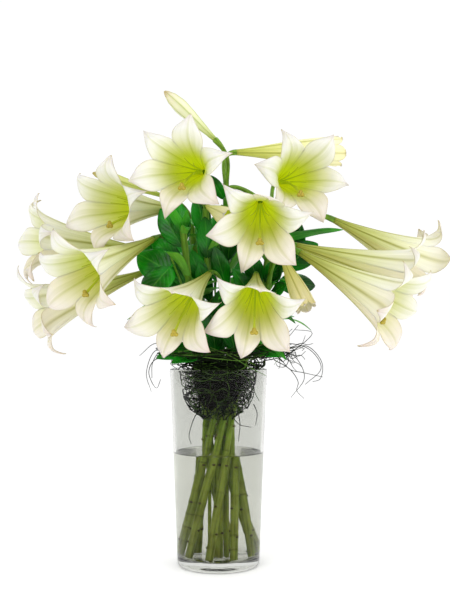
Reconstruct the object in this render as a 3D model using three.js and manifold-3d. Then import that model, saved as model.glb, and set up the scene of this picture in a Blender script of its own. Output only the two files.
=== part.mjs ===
// Trumpet lilies in a clear glass vase. Millimetres, +Z up, the origin on the table under the vase's axis,
// with the side that is looked at towards -Y. Each bloom, each stem with its leaves, each sprig of broad
// foliage, the nest of vine, the water and the vase is one closed solid.
import * as THREE from "three";
import { mergeVertices } from "three/addons/utils/BufferGeometryUtils.js";
import Module from "manifold-3d";

const wasm = await Module();
wasm.setup();

// Driving dimensions
const VASE = {
  height: 250, rimRadius: 63, baseRadius: 52.5, wall: 3.5, floor: 12, corner: 5, lip: 1.5, fillet: 3, sides: 30,
};
const GAP = 0.35;
const WATER_LEVEL = 143;
const STEM = { radius: 4.6, sides: 6, steps: 9, footRadius: 37, waistRadius: 16.5, waistHeight: 160 };
const PEDICEL = { radius: 2.9, sides: 5, steps: 5, sunk: 7, handle: 26 };
const BLOOM = {
  length: 168, wall: 1.1, floor: 9, columns: 24, petals: 6, throatSlope: 0.24,
  split: 0.64, quarterReach: 0.8, widen: 1.3, curl: 13, stray: 4, sway: 8, slimmest: 0.4, fold: 0.5,
  tangentStep: 0.02,
};
const PISTIL = { length: 138, radius: 1.6, sag: 22, stigma: 4.5, foot: 4.4 };
const FILAMENT = { radius: 0.8, reach: 92, ring: 9 };
const LEAF = { length: 96, width: 17, thickness: 0.9, fold: 0 };
const LEAF_PLACE = { pitch: 27, turn: 137.5, highest: 8, lowest: 288 };
const LEAF_SHARE = { youngest: 0.42, growth: 0.2, least: 0.85, spread: 0.3, droop: 0.5, slimmest: 0.55 };
const BROAD = { width: 46, widest: 0.75, thickness: 0.9, fold: 0.1, bow: 5 };
const SPRIG = { radius: 1.7, sides: 4, steps: 14, footRadius: 8.4 };
const NEST = { sides: 12, mouthReach: 52, bowlReach: 40 };
const NEST_PROFILE = [
  [0, 190], [22, 188], [38, 197], [46, 214], [51, 246], [64, 256], [64, 262], [46, 272], [0, 275],
];
const VINE = { radius: 0.9, sides: 3, steps: 5, strands: 7, tilt: 20, arch: 8 };
const VINE_SWEEP = { least: 30, spread: 30 };
const VINE_ABOVE = { height: 258, spread: 8, reach: 66, reachSpread: 16 };
const VINE_BELOW = { height: 198, spread: 34, glassGap: 2.5 };

// Radius of a trumpet lily against the distance from its neck, for an open bloom and for a closed bud
const OPEN_PROFILE = [
  [0, 4.2], [20, 6.4], [45, 10.2], [72, 15.6], [99, 22], [122, 28.6], [141, 35.5],
  [153, 44], [158, 54], [156, 64],
];
const BUD_PROFILE = [
  [0, 4.2], [20, 6.2], [45, 9.5], [72, 13], [99, 15], [123, 15], [143, 12.5], [155, 8.5], [163, 5], [168, 2],
];

// Blooms: the middle of the ring of petal tips, the way the mouth looks, and the turn of the first petal
// clockwise from straight up. open runs from 0, a bud, to 1, and size is a share of the full length. folded is
// the number of a petal that doesn't flare with the rest.
const BLOOMS = {
  top_left: { tips: [-49, -132, 487], aim: [-0.18, -0.97, -0.14], roll: 17, open: 1, size: 1 },
  left_upper: { tips: [-152, -84, 448], aim: [-0.55, -0.82, -0.1], roll: 15, open: 1, size: 1 },
  left_far: { tips: [-258, -12, 419], aim: [-0.9, -0.42, 0.06], roll: 30, open: 1, size: 1 },
  left_middle: { tips: [-178, -136, 350], aim: [-0.55, -0.73, -0.39], roll: 0, open: 1, size: 1 },
  left_lower: { tips: [-252, -5, 316], aim: [-0.88, -0.3, -0.36], roll: 0, open: 1, size: 1 },
  front_left: {
    tips: [-60, -140, 307], aim: [-0.3, -0.86, -0.41], roll: 17, open: 1, size: 0.94, folded: 0,
  },
  front_right: {
    tips: [41, -138, 309], aim: [-0.05, -0.92, -0.39], roll: 15, open: 1, size: 0.95, folded: 0,
  },
  centre: {
    tips: [48, -140, 414], aim: [-0.04, -0.94, -0.33], roll: 20, open: 1, size: 1, folded: 0,
  },
  top_right: { tips: [110, -60, 491], aim: [0.17, -0.97, -0.1], roll: 37, open: 1, size: 1 },
  top_back: { tips: [178, 98, 552], aim: [0.97, 0.25, 0.06], roll: 12, open: 0.35, size: 0.95 },
  right_upper: { tips: [296, 95, 386], aim: [0.85, 0.38, -0.36], roll: 30, open: 1, size: 1 },
  right_middle: { tips: [262, -12, 362], aim: [0.95, -0.08, -0.28], roll: 0, open: 1, size: 1 },
  right_lower: { tips: [228, -114, 314], aim: [0.74, -0.46, -0.49], roll: 30, open: 1, size: 1 },
  behind_right: { tips: [113, -30, 322], aim: [0.36, -0.3, -0.85], roll: 0, open: 0.3, size: 0.5 },
  behind_left: { tips: [20, -52, 434], aim: [0.46, -0.8, -0.36], roll: 0, open: 0.35, size: 0.45 },
};
const BUDS = {
  top: { neck: [-5, 10, 550], aim: [-0.72, 0, 0.69], length: 92, radius: 10.5 },
  left: { neck: [-78, 34, 480], aim: [-0.94, 0.02, 0.31], length: 96, radius: 9.5 },
};

// Lily stems in the order in which they stand round the bundle, each with the point where its flower
// stalks part, the way it leans there, and the blooms and buds that it carries
const STEMS = {
  front_right: { top: [44, 2, 342], lean: [0.1, 0.1, 1], blooms: ["front_right"], buds: [] },
  right: {
    top: [66, 24, 362], lean: [0.2, 0, 1], blooms: ["right_middle", "right_lower", "behind_right"], buds: [],
  },
  right_back: { top: [70, 55, 428], lean: [0.1, 0, 1], blooms: ["top_right", "right_upper"], buds: [] },
  tall: { top: [10, 50, 490], lean: [0, 0, 1], blooms: ["centre", "top_back"], buds: ["top"] },
  left_back: { top: [-38, 60, 446], lean: [-0.1, 0, 1], blooms: ["left_upper"], buds: ["left"] },
  left: {
    top: [-66, 28, 408], lean: [-0.4, 0, 1], blooms: ["left_far", "left_middle", "left_lower"], buds: [],
  },
  young: { top: [-45, -20, 428], lean: [-0.1, 0, 1], blooms: [], buds: [] },
  front_left: { top: [6, 1, 346], lean: [0, 0.1, 1], blooms: ["front_left"], buds: [] },
};
const MIDDLE_STEM = { top: [-17, 24, 460], lean: [0, 0, 1], blooms: ["top_left", "behind_left"], buds: [] };
const FIRST_SLOT = -133;

// Sprigs of broad foliage: the turn round the bundle's heart where each stands, points up its stem, and for
// each leaf its place on the stem, its tip and the way that its upper face looks
const SPRIGS = {
  left: {
    stand: 173, through: [[-10, 2, 215], [-16, -5, 243], [-26, -24, 300]], top: [-60, -30, 392],
    leaves: [
      { at: 0.98, tip: [-90, -54, 340], facing: [-0.4, -0.9, 0.3] },
      { at: 0.92, tip: [-104, -10, 398], facing: [-0.2, -0.9, 0.4] },
      { at: 0.78, tip: [-58, -80, 300], facing: [0, -0.6, 0.8] },
    ],
  },
  right: {
    stand: -4, through: [[12, 4, 215], [21, 13, 242], [34, 38, 290], [60, 62, 340]], top: [92, 62, 388],
    leaves: [
      { at: 0.98, tip: [134, 46, 416], facing: [-0.3, -0.8, 0.5] },
      { at: 0.93, tip: [132, 66, 360], facing: [0.5, -0.7, 0.6] },
      { at: 0.76, tip: [104, 84, 318], facing: [0.4, 0.3, 0.9] },
      { at: 0.97, tip: [104, 74, 460], facing: [0, -1, 0.1] },
    ],
  },
  back: {
    stand: 40, through: [[9, 11, 200], [7, 20, 225], [4, 27, 248], [0, 44, 285]], top: [-8, 92, 392],
    leaves: [
      { at: 0.98, tip: [-34, 112, 446], facing: [0, -0.8, 0.3] },
      { at: 0.94, tip: [32, 112, 420], facing: [0.1, -0.8, 0.4] },
      { at: 0.82, tip: [10, 136, 350], facing: [0, 0.3, 1] },
      { at: 0.7, tip: [-52, 104, 330], facing: [-0.3, 0.3, 1] },
      { at: 0.96, tip: [-60, 100, 424], facing: [0, -0.9, 0.2] },
      { at: 0.9, tip: [0, 84, 466], facing: [0, -1, 0.1] },
    ],
  },
};

// Long strands of vine that stray out over the rim or hang in the vase, as points along each
const WISPS = [
  [[52, -30, 262], [78, -52, 282], [112, -50, 276], [128, -44, 252], [108, -46, 232]],
  [[56, -20, 260], [84, -40, 268], [118, -34, 296], [96, -30, 300]],
  [[54, 10, 262], [92, 4, 270], [110, -12, 240], [92, -22, 214]],
  [[-54, -24, 262], [-78, -34, 274], [-90, -36, 246], [-84, -34, 222]],
  [[-56, 14, 262], [-82, 20, 282], [-104, 22, 266]],
  [[-20, 50, 262], [-30, 84, 276], [-6, 104, 258], [20, 96, 240]],
  [[-30, -30, 200], [-42, -24, 180], [-34, -30, 160]],
  [[34, -26, 198], [46, -20, 182], [50, -8, 200]],
  [[10, -44, 206], [24, -46, 184], [40, -34, 178]],
];

const rad = THREE.MathUtils.degToRad;
const vec = (p) => new THREE.Vector3(...p);
const UP = new THREE.Vector3(0, 0, 1);

const material = (color, roughness) => new THREE.MeshStandardMaterial({ color, roughness, metalness: 0 });
const clearMaterial = (color, roughness, opacity) => (
  new THREE.MeshStandardMaterial({ color, roughness, metalness: 0, transparent: true, opacity })
);
const glass = clearMaterial(0xeef4f2, 0.05, 0.35);
const water = clearMaterial(0xdfe8e2, 0.05, 0.5);
const petal = material(0xf2f2e0, 0.55);
const youngPetal = material(0xdfe59a, 0.55);
const pistilGreen = material(0xb9bf3c, 0.6);
const stemGreen = material(0x4f7a2a, 0.6);
const leafGreen = material(0x1f5a24, 0.4);
const vineBrown = material(0x1d2415, 0.8);

// A closed geometry as a solid: shared vertices are merged and faces that have no area are dropped.
function solidOf(geometry) {
  const bare = geometry.clone();
  bare.deleteAttribute("normal");
  bare.deleteAttribute("uv");
  const merged = mergeVertices(bare, 1e-3);
  const index = merged.index.array;
  const kept = [];
  for (let i = 0; i < index.length; i += 3) {
    const [a, b, c] = index.slice(i, i + 3);
    if (a !== b && b !== c && c !== a) kept.push(a, b, c);
  }
  const vertProperties = merged.attributes.position.array;
  return new wasm.Manifold(new wasm.Mesh({ numProp: 3, vertProperties, triVerts: new Uint32Array(kept) }));
}

function meshOf(name, solid, look) {
  const { vertProperties, triVerts } = solid.getMesh();
  const geometry = new THREE.BufferGeometry();
  geometry.setAttribute("position", new THREE.BufferAttribute(vertProperties, 3));
  geometry.setIndex(new THREE.BufferAttribute(triVerts, 1));
  geometry.computeVertexNormals();
  const mesh = new THREE.Mesh(geometry, look);
  mesh.name = name;
  return mesh;
}

const join = (solids) => solids.reduce((whole, next) => whole.add(next));
const isClear = (solid, others) => others.every((other) => solid.minGap(other, 1) > GAP - 0.05);

// A fixed fraction from 0 to 1 for each whole number, so that every build draws the same ones.
function chance(seed) {
  const far = Math.sin(seed * 12.9898 + 4.1) * 43758.5453;
  return far - Math.floor(far);
}

// Splits each four-sided face of a grid along its other diagonal. A thin blade's two faces are split alike
// that way, and so they can't cross. Corners a, b, c, d go round a face, which comes as a, b, d and b, c, d.
function splitOtherWay(geometry, start, count) {
  const index = geometry.index;
  for (let i = start; i < start + count; i += 6) {
    const [a, b, d] = [index.getX(i), index.getX(i + 1), index.getX(i + 2)];
    const c = [3, 4, 5].map((k) => index.getX(i + k)).find((corner) => corner !== b && corner !== d);
    [a, b, c, a, c, d].forEach((corner, k) => index.setX(i + k, corner));
  }
}

// A round bar along a path.
function bar(path, radius, sides, steps) {
  const corners = Array.from({ length: sides }, (_, i) => {
    const angle = (2 * Math.PI * i) / sides;
    return new THREE.Vector2(radius * Math.cos(angle), radius * Math.sin(angle));
  });
  const options = { steps, bevelEnabled: false, extrudePath: path };
  return solidOf(new THREE.ExtrudeGeometry(new THREE.Shape(corners), options));
}

// A turned solid about Z from [radius, height] pairs that start and end on the axis.
function turnedSolid(profile, sides) {
  const turned = new THREE.LatheGeometry(profile.map(([r, z]) => new THREE.Vector2(r, z)), sides);
  return solidOf(turned.rotateX(Math.PI / 2));
}

const glassOuterAt = (z) => VASE.baseRadius + ((VASE.rimRadius - VASE.baseRadius) * z) / VASE.height;

// Vase: a plain cone of glass with a thick floor, a rounded foot and a rounded lip.
function vaseSolid() {
  const { height, rimRadius, baseRadius, wall, floor, corner, lip, fillet, sides } = VASE;
  const underLip = height - lip;
  const profile = [[0, 0], [baseRadius - corner, 0], [baseRadius - corner * 0.3, corner * 0.3]];
  profile.push([glassOuterAt(corner), corner], [glassOuterAt(underLip), underLip]);
  profile.push([rimRadius - lip * 0.6, height], [rimRadius - wall + lip * 0.6, height]);
  profile.push([glassOuterAt(underLip) - wall, underLip]);
  profile.push([glassOuterAt(floor + fillet) - wall, floor + fillet]);
  profile.push([glassOuterAt(floor) - wall - fillet, floor], [0, floor]);
  return turnedSolid(profile, sides);
}

function waterSolid(wells) {
  const { wall, floor, fillet, sides } = VASE;
  const innerAt = (z) => glassOuterAt(z) - wall - GAP;
  const profile = [[0, floor + GAP], [innerAt(floor) - fillet - 0.2, floor + GAP]];
  profile.push([innerAt(floor + fillet), floor + fillet + 0.2]);
  profile.push([innerAt(WATER_LEVEL), WATER_LEVEL], [0, WATER_LEVEL]);
  return turnedSolid(profile, sides).subtract(wells);
}

// Path of a lily stem: straight from its foot on the vase's floor to the waist of the bundle, then out to its
// top. Round the middle stem each stands in its own slot, and all of them slant the same way.
function stemPath(spec, slot) {
  const { footRadius, waistRadius, waistHeight, radius } = STEM;
  const foot = new THREE.Vector3();
  const waist = new THREE.Vector3(0, 0, waistHeight);
  if (slot !== null) {
    const out = rad(FIRST_SLOT + 45 * slot);
    const turned = new THREE.Vector3(-Math.sin(out), Math.cos(out), 0);
    waist.set(waistRadius * Math.cos(out), waistRadius * Math.sin(out), waistHeight);
    foot.copy(waist).addScaledVector(turned, -Math.sqrt(footRadius ** 2 - waistRadius ** 2)).setZ(0);
  }
  const slant = new THREE.Vector2(foot.x - waist.x, foot.y - waist.y).length() / waistHeight;
  foot.z = VASE.floor + GAP + radius * slant;
  const top = vec(spec.top);
  const handle = waist.distanceTo(top) * 0.36;
  const rise = waist.clone().sub(foot).normalize();
  const path = new THREE.CurvePath();
  path.add(new THREE.LineCurve3(foot, waist));
  path.add(new THREE.CubicBezierCurve3(
    waist, waist.clone().addScaledVector(rise, handle),
    top.clone().addScaledVector(vec(spec.lean).normalize(), -handle), top,
  ));
  return path;
}

// The frame of a bloom or bud: columns right, up and the way it looks, with its neck as the origin.
function aimFrame(neck, aim) {
  const look = aim.clone().normalize();
  const up = UP.clone().addScaledVector(look, -UP.dot(look)).normalize();
  const right = up.clone().cross(look);
  return new THREE.Matrix4().makeBasis(right, up, look).setPosition(neck);
}

function bloomFrame({ tips, aim, size }) {
  const look = vec(aim).normalize();
  return aimFrame(vec(tips).addScaledVector(look, -BLOOM.length * size), look);
}

const budFrame = ({ neck, aim }) => aimFrame(vec(neck), vec(aim));
const splineOf = (pairs) => new THREE.SplineCurve(pairs.map(([a, r]) => new THREE.Vector2(a, r)));
const openSpline = splineOf(OPEN_PROFILE);
const budSpline = splineOf(BUD_PROFILE);

// Where a petal's midrib runs at a share of its length: distance from the neck, then from the axis. lag is how
// far the tip curls back, and fold how far it closes towards a bud.
function midribAt(bloom, share, lag = 0, fold = 0) {
  const free = Math.max(0, (share - BLOOM.split) / (1 - BLOOM.split));
  const at = budSpline.getPoint(share).lerp(openSpline.getPoint(share), bloom.open - fold * free);
  const girth = THREE.MathUtils.lerp(BLOOM.slimmest, 1, bloom.size);
  return new THREE.Vector2(at.x * bloom.size - lag * free * free, at.y * girth);
}

// One point of a bloom's wall in its own frame. Each petal has four columns: the notch that it shares with
// the petal before it, a quarter, its midrib and the other quarter. Every other petal curls further back.
function petalPoint(bloom, seed, column, row, depth) {
  const index = Math.floor(column / 4) % BLOOM.petals;
  const side = ((column % 4) - 2) / 2;
  const reach = [1, BLOOM.quarterReach, BLOOM.split][Math.abs(side) * 2];
  const share = row * reach;
  const free = Math.max(0, (share - BLOOM.split) / (1 - BLOOM.split));
  const stray = chance(seed + index + 7) * BLOOM.stray;
  const lag = ((index % 2) * BLOOM.curl + stray) * bloom.size * bloom.open ** 2;
  const fold = bloom.folded === index ? BLOOM.fold : 0;
  const { x: axial, y: radius } = midribAt(bloom, share, lag, fold);
  const before = midribAt(bloom, Math.max(0, share - BLOOM.tangentStep), lag, fold);
  const along = midribAt(bloom, Math.min(1, share + BLOOM.tangentStep), lag, fold).sub(before).normalize();
  const notch = midribAt(bloom, BLOOM.split).y;
  const sway = (chance(seed + index) - 0.5) * BLOOM.sway * free;
  const middle = rad(90 - bloom.roll + (360 / BLOOM.petals) * index + sway);
  const within = Math.min(radius, notch);
  const turn = rad((180 / BLOOM.petals) * side);
  const out = radius - within * (1 - Math.cos(turn)) * (1 - free) - depth * along.x;
  const across = within * Math.sin(turn) * (1 + BLOOM.widen * free);
  return new THREE.Vector3(
    out * Math.cos(middle) - across * Math.sin(middle),
    out * Math.sin(middle) + across * Math.cos(middle),
    axial + depth * along.y,
  );
}

// Rows up the outside of a bloom and down its inside, as shares of each column's reach.
const WALL_ROWS = [0.34, 0.62, 0.82, 1];

// A bloom's wall, turned as a lathe and then pushed into petals. A half-open one has no quarter columns.
// Each face is split towards its petal's midrib, alike outside and inside.
function bloomSolid(bloom, seed) {
  const outer = [0, ...WALL_ROWS].map((row) => [row, 0]);
  const inner = [...WALL_ROWS].reverse().map((row) => [row, BLOOM.wall]);
  const rows = [null, ...outer, ...inner, null];
  const step = bloom.open < 0.5 ? 2 : 1;
  const columns = BLOOM.columns / step;
  const turned = new THREE.LatheGeometry(rows.map((_, i) => new THREE.Vector2(1, i)), columns);
  const position = turned.attributes.position;
  for (let i = 0; i <= columns; i++) {
    const column = (i * step) % BLOOM.columns;
    rows.forEach((row, j) => {
      const onAxis = new THREE.Vector3(0, 0, j === 0 ? 0 : BLOOM.floor * bloom.size);
      const point = row ? petalPoint(bloom, seed, column, row[0], row[1]) : onAxis;
      position.setXYZ(i * rows.length + j, point.x, point.y, point.z);
    });
    if (i < columns) {
      const [first, count] = column % 4 < 2 ? [outer.length + 1, inner.length - 1] : [1, outer.length - 1];
      splitOtherWay(turned, (i * (rows.length - 1) + first) * 6, count * 6);
    }
  }
  return solidOf(turned.applyMatrix4(bloomFrame(bloom)));
}

// Pistil and stamens, joined at the foot. The pistil sags to the lower side of the mouth.
function pistilSolid(bloom) {
  const { length, radius, sag, stigma, foot } = PISTIL;
  const { reach, ring } = FILAMENT;
  const start = (BLOOM.floor + (foot + GAP) / BLOOM.throatSlope) * bloom.size;
  const style = new THREE.QuadraticBezierCurve3(
    new THREE.Vector3(0, 0, start),
    new THREE.Vector3(0, 0, length * 0.55),
    new THREE.Vector3(0, -sag, length),
  );
  const pieces = [bar(style, radius, 4, 3)];
  pieces.push(solidOf(new THREE.OctahedronGeometry(stigma, 0).translate(0, -sag, length)));
  const footPath = new THREE.LineCurve3(new THREE.Vector3(0, 0, start), new THREE.Vector3(0, 0, start + 2));
  pieces.push(bar(footPath, foot, 6, 1));
  for (let i = 0; i < 6; i++) {
    const angle = rad(60 * i + 30);
    const needle = new THREE.ConeGeometry(FILAMENT.radius, reach, 3, 1);
    needle.rotateX(Math.PI / 2).translate(0, 0, reach / 2);
    needle.rotateY(Math.atan(ring / reach)).rotateZ(angle);
    needle.translate(foot * 0.68 * Math.cos(angle), foot * 0.68 * Math.sin(angle), start + 1);
    pieces.push(solidOf(needle));
  }
  return join(pieces).transform(bloomFrame(bloom).toArray());
}

// Closed bud: shares of its length and of its greatest radius
const SPINDLE = [
  [0, 0.32], [0.12, 0.42], [0.3, 0.63], [0.5, 0.86], [0.68, 1], [0.84, 0.82], [0.95, 0.44], [1, 0.13],
];

// A bud is a slim spindle with six shallow ribs.
function budSolid(bud) {
  const outside = SPINDLE.map(([a, r]) => [r * bud.radius, a * bud.length]);
  const profile = [[0, 0], ...outside, [0, bud.length]];
  const turned = new THREE.LatheGeometry(profile.map(([r, a]) => new THREE.Vector2(r, a)), 12);
  const position = turned.attributes.position;
  for (let i = 0; i < position.count; i++) {
    const rib = Math.floor(i / profile.length) % 2 === 0 ? 1 : 0.88;
    position.setXYZ(i, position.getZ(i) * rib, position.getX(i) * rib, position.getY(i));
  }
  return solidOf(turned.applyMatrix4(budFrame(bud)));
}

// A leaf blade along a curve: thin, widened by its outline, and folded up a little from its midrib.
function blade(path, facing, { width, thickness, fold }, outline, segments) {
  const box = new THREE.BoxGeometry(1, 1, 1, fold ? 2 : 1, segments, 1);
  const underside = box.groups[5];
  splitOtherWay(box, underside.start, underside.count);
  const position = box.attributes.position;
  for (let i = 0; i < position.count; i++) {
    const along = position.getY(i) + 0.5;
    const across = position.getX(i) * 2;
    const half = Math.max(0.5, (width / 2) * outline(along));
    const tangent = path.getTangent(along);
    const side = tangent.clone().cross(facing).normalize();
    const face = side.clone().cross(tangent);
    const point = path.getPoint(along).addScaledVector(side, across * half);
    point.addScaledVector(face, position.getZ(i) * thickness + Math.abs(across) * half * fold);
    position.setXYZ(i, point.x, point.y, point.z);
  }
  return solidOf(box);
}

const lanceOutline = (t) => Math.sin(Math.PI * Math.min(1, 0.14 + 0.86 * t)) ** 0.8;
const broadOutline = (t) => (t < 0.15 ? 0.08 : Math.sin(Math.PI * ((t - 0.1) / 0.9) ** 0.9) ** 0.75);

// One leaf of a lily stem, rising from the stem and bowing over.
function lilyLeaf(root, turn, reach, droop, width) {
  const out = new THREE.Vector3(Math.cos(turn), Math.sin(turn), 0);
  const start = root.clone().addScaledVector(out, 1.5);
  const bend = start.clone().addScaledVector(out, reach * 0.4).addScaledVector(UP, reach * 0.45);
  const end = start.clone().addScaledVector(out, reach * 0.85).addScaledVector(UP, reach * (0.5 - droop));
  return blade(new THREE.QuadraticBezierCurve3(start, bend, end), UP, { ...LEAF, width }, lanceOutline, 3);
}

// Turns aside, in degrees, and shares of its reach that a leaf tries in order until it is clear of the rest
const ASIDE = [0, 24, -24, 48, -48, 75, -75, 105, -105, 140];
const SHORTER = [1, 0.75, 0.55];

// Leaves of a lily stem: one every pitch down from its top, each turned on from the last and longer than it.
// A leaf that would meet another piece is turned aside or shortened, and is left off where nothing helps.
function lilyLeaves(path, order, others) {
  const leaves = [];
  const length = path.getLength();
  for (let index = 0; LEAF_PLACE.highest + index * LEAF_PLACE.pitch < length; index++) {
    const root = path.getPointAt(1 - (LEAF_PLACE.highest + index * LEAF_PLACE.pitch) / length);
    if (root.z < LEAF_PLACE.lowest) break;
    const seed = order * 31 + index;
    const grown = Math.min(1, LEAF_SHARE.youngest + LEAF_SHARE.growth * index);
    const reach = LEAF.length * grown * (LEAF_SHARE.least + LEAF_SHARE.spread * chance(seed));
    const width = LEAF.width * THREE.MathUtils.lerp(LEAF_SHARE.slimmest, 1, grown);
    const droop = LEAF_SHARE.droop * chance(seed + 5);
    const tries = SHORTER.flatMap((share) => ASIDE.map((angle) => [share, angle]));
    for (const [share, angle] of tries) {
      const turn = rad(order * 47 + index * LEAF_PLACE.turn + angle);
      const leaf = lilyLeaf(root, turn, reach * share, droop, width);
      if (isClear(leaf, [...others, ...leaves])) {
        leaves.push(leaf);
        break;
      }
    }
  }
  return leaves;
}

// A flower stalk: it leaves the stem's top along its lean and meets the neck along the bloom's own axis.
function pedicel(spec, frame) {
  const look = new THREE.Vector3().setFromMatrixColumn(frame, 2);
  const lean = vec(spec.lean).normalize();
  const end = new THREE.Vector3().setFromMatrixPosition(frame).addScaledVector(look, -GAP);
  const start = vec(spec.top).addScaledVector(lean, -PEDICEL.sunk);
  const handle = Math.max(PEDICEL.handle, start.distanceTo(end) * 0.45);
  const curve = new THREE.CubicBezierCurve3(
    start, start.clone().addScaledVector(lean, handle), end.clone().addScaledVector(look, -handle), end,
  );
  return bar(curve, PEDICEL.radius, PEDICEL.sides, PEDICEL.steps);
}

// A lily stem with its flower stalks, and no leaves yet.
function bareStem(spec, path) {
  const bloomFrames = spec.blooms.map((name) => bloomFrame(BLOOMS[name]));
  const frames = [...bloomFrames, ...spec.buds.map((name) => budFrame(BUDS[name]))];
  const stalks = frames.map((frame) => pedicel(spec, frame));
  return join([bar(path, STEM.radius, STEM.sides, STEM.steps), ...stalks]);
}

function sprigPath({ stand, through, top }) {
  const foot = new THREE.Vector3(SPRIG.footRadius, 0, 0).applyAxisAngle(UP, rad(stand));
  const low = foot.clone().setZ(VASE.floor + GAP);
  const waist = foot.clone().setZ(STEM.waistHeight + 20);
  const path = new THREE.CurvePath();
  path.add(new THREE.LineCurve3(low, waist));
  path.add(new THREE.CatmullRomCurve3([waist, ...through.map(vec), vec(top)]));
  return path;
}

function sprigSolid(spec) {
  const path = sprigPath(spec);
  const pieces = [bar(path, SPRIG.radius, SPRIG.sides, SPRIG.steps)];
  spec.leaves.forEach(({ at, tip, facing }) => {
    const root = path.getPointAt(at);
    const end = vec(tip);
    const middle = root.clone().lerp(end, 0.5).addScaledVector(vec(facing).normalize(), BROAD.bow);
    const length = root.distanceTo(end);
    const curve = new THREE.QuadraticBezierCurve3(root, middle, end);
    const width = Math.min(BROAD.width, length * BROAD.widest);
    pieces.push(blade(curve, vec(facing), { ...BROAD, width }, broadOutline, 4));
  });
  return join(pieces);
}

// A strand of vine that loops out of the nest and back in, either over the rim or down inside the glass.
function strandPath(i) {
  const angle = rad(i * LEAF_PLACE.turn);
  const sweep = rad(VINE_SWEEP.least + VINE_SWEEP.spread * chance(i + 60));
  const above = i % 2 === 0;
  const { height, spread } = above ? VINE_ABOVE : VINE_BELOW;
  const level = height + spread * chance(i + 70);
  const inside = above ? NEST.mouthReach : NEST.bowlReach;
  const nearGlass = glassOuterAt(level) - VASE.wall - VINE_BELOW.glassGap;
  const outside = above ? VINE_ABOVE.reach + VINE_ABOVE.reachSpread * chance(i + 90) : nearGlass;
  const tilt = (chance(i + 100) - 0.5) * VINE.tilt;
  const points = [-1, -0.4, 0.4, 1].map((s) => {
    const ends = Math.abs(s) === 1;
    const reach = ends ? inside : outside;
    const arch = above && !ends ? VINE.arch : 0;
    const turn = angle + sweep * s;
    return new THREE.Vector3(reach * Math.cos(turn), reach * Math.sin(turn), level + arch + tilt * s * 0.4);
  });
  return new THREE.CatmullRomCurve3(points);
}

// Nest of vine in the mouth of the vase: a bowl-shaped core, with the stems running down through it, and
// strands that loop out of it.
function nestSolid(wells) {
  const core = turnedSolid(NEST_PROFILE, NEST.sides);
  const loops = Array.from({ length: VINE.strands }, (_, i) => strandPath(i));
  const wisps = WISPS.map((points) => new THREE.CatmullRomCurve3(points.map(vec)));
  const strands = [...loops, ...wisps].map((path) => bar(path, VINE.radius, VINE.sides, VINE.steps));
  const bodies = join([core, ...strands]).subtract(wells).decompose();
  return bodies.reduce((largest, next) => (next.volume() > largest.volume() ? next : largest));
}

const part = new THREE.Group();
part.name = "lilies_in_a_vase";

const stemSpecs = [...Object.entries(STEMS), ["middle", MIDDLE_STEM]];
const paths = stemSpecs.map(([, spec], i) => stemPath(spec, i < 8 ? i : null));
const stemWells = paths.map((path) => bar(path, STEM.radius + GAP, STEM.sides, STEM.steps));
const footWells = paths.map((path) => {
  const [foot, waist] = [path.getPoint(0), path.curves[0].v2];
  const below = foot.clone().lerp(waist, -0.05);
  return bar(new THREE.LineCurve3(below, waist), STEM.radius + GAP, STEM.sides, 1);
});
const sprigWells = Object.values(SPRIGS).map((spec) => {
  return bar(sprigPath(spec), SPRIG.radius + GAP, SPRIG.sides, SPRIG.steps);
});
const sprigFootWells = Object.values(SPRIGS).map((spec) => {
  const low = sprigPath(spec).getPoint(0);
  const path = new THREE.LineCurve3(low.clone().setZ(VASE.floor - 2), low.clone().setZ(VASE.floor + 4));
  return bar(path, SPRIG.radius + GAP, SPRIG.sides, 1);
});

const vase = vaseSolid();
const nest = nestSolid(join([...stemWells, ...sprigWells]));
const bareStems = stemSpecs.map(([, spec], i) => bareStem(spec, paths[i]));
const blooms = Object.values(BLOOMS).map((bloom, i) => bloomSolid(bloom, 20 * i + 3));
const buds = Object.values(BUDS).map(budSolid);
const sprigs = Object.values(SPRIGS).map(sprigSolid);
const settled = [vase, nest, ...blooms, ...buds, ...sprigs];

part.add(meshOf("vase", vase, glass));
part.add(meshOf("water", waterSolid(join([...footWells, ...sprigWells, ...sprigFootWells])), water));
part.add(meshOf("nest_of_vine", nest, vineBrown));
stemSpecs.forEach(([name], order) => {
  const others = [...settled, ...bareStems.filter((_, i) => i !== order)];
  const leaves = lilyLeaves(paths[order], order, others);
  settled.push(...leaves);
  part.add(meshOf("stem_" + name, join([bareStems[order], ...leaves]), stemGreen));
});
Object.keys(SPRIGS).forEach((name, i) => part.add(meshOf("sprig_" + name, sprigs[i], leafGreen)));
Object.entries(BLOOMS).forEach(([name, bloom], i) => {
  const young = bloom.open < 0.5;
  part.add(meshOf("bloom_" + name, blooms[i], young ? youngPetal : petal));
  if (!young) part.add(meshOf("pistil_" + name, pistilSolid(bloom), pistilGreen));
});
Object.keys(BUDS).forEach((name, i) => part.add(meshOf("bud_" + name, buds[i], youngPetal)));

export default part;
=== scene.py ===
"""Trumpet lilies in a clear glass vase: the finished surfaces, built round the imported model.

Lengths are metres, and the tables of places are millimetres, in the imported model's frame: +Z up, the
origin under the vase's axis, and -Y towards the side that is looked at.
"""
import math

import bmesh
import bpy
from bpy.props import FloatProperty, FloatVectorProperty, IntProperty, PointerProperty
from mathutils import Matrix, Vector, noise
from mathutils.bvhtree import BVHTree
from mathutils.geometry import interpolate_bezier


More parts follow.
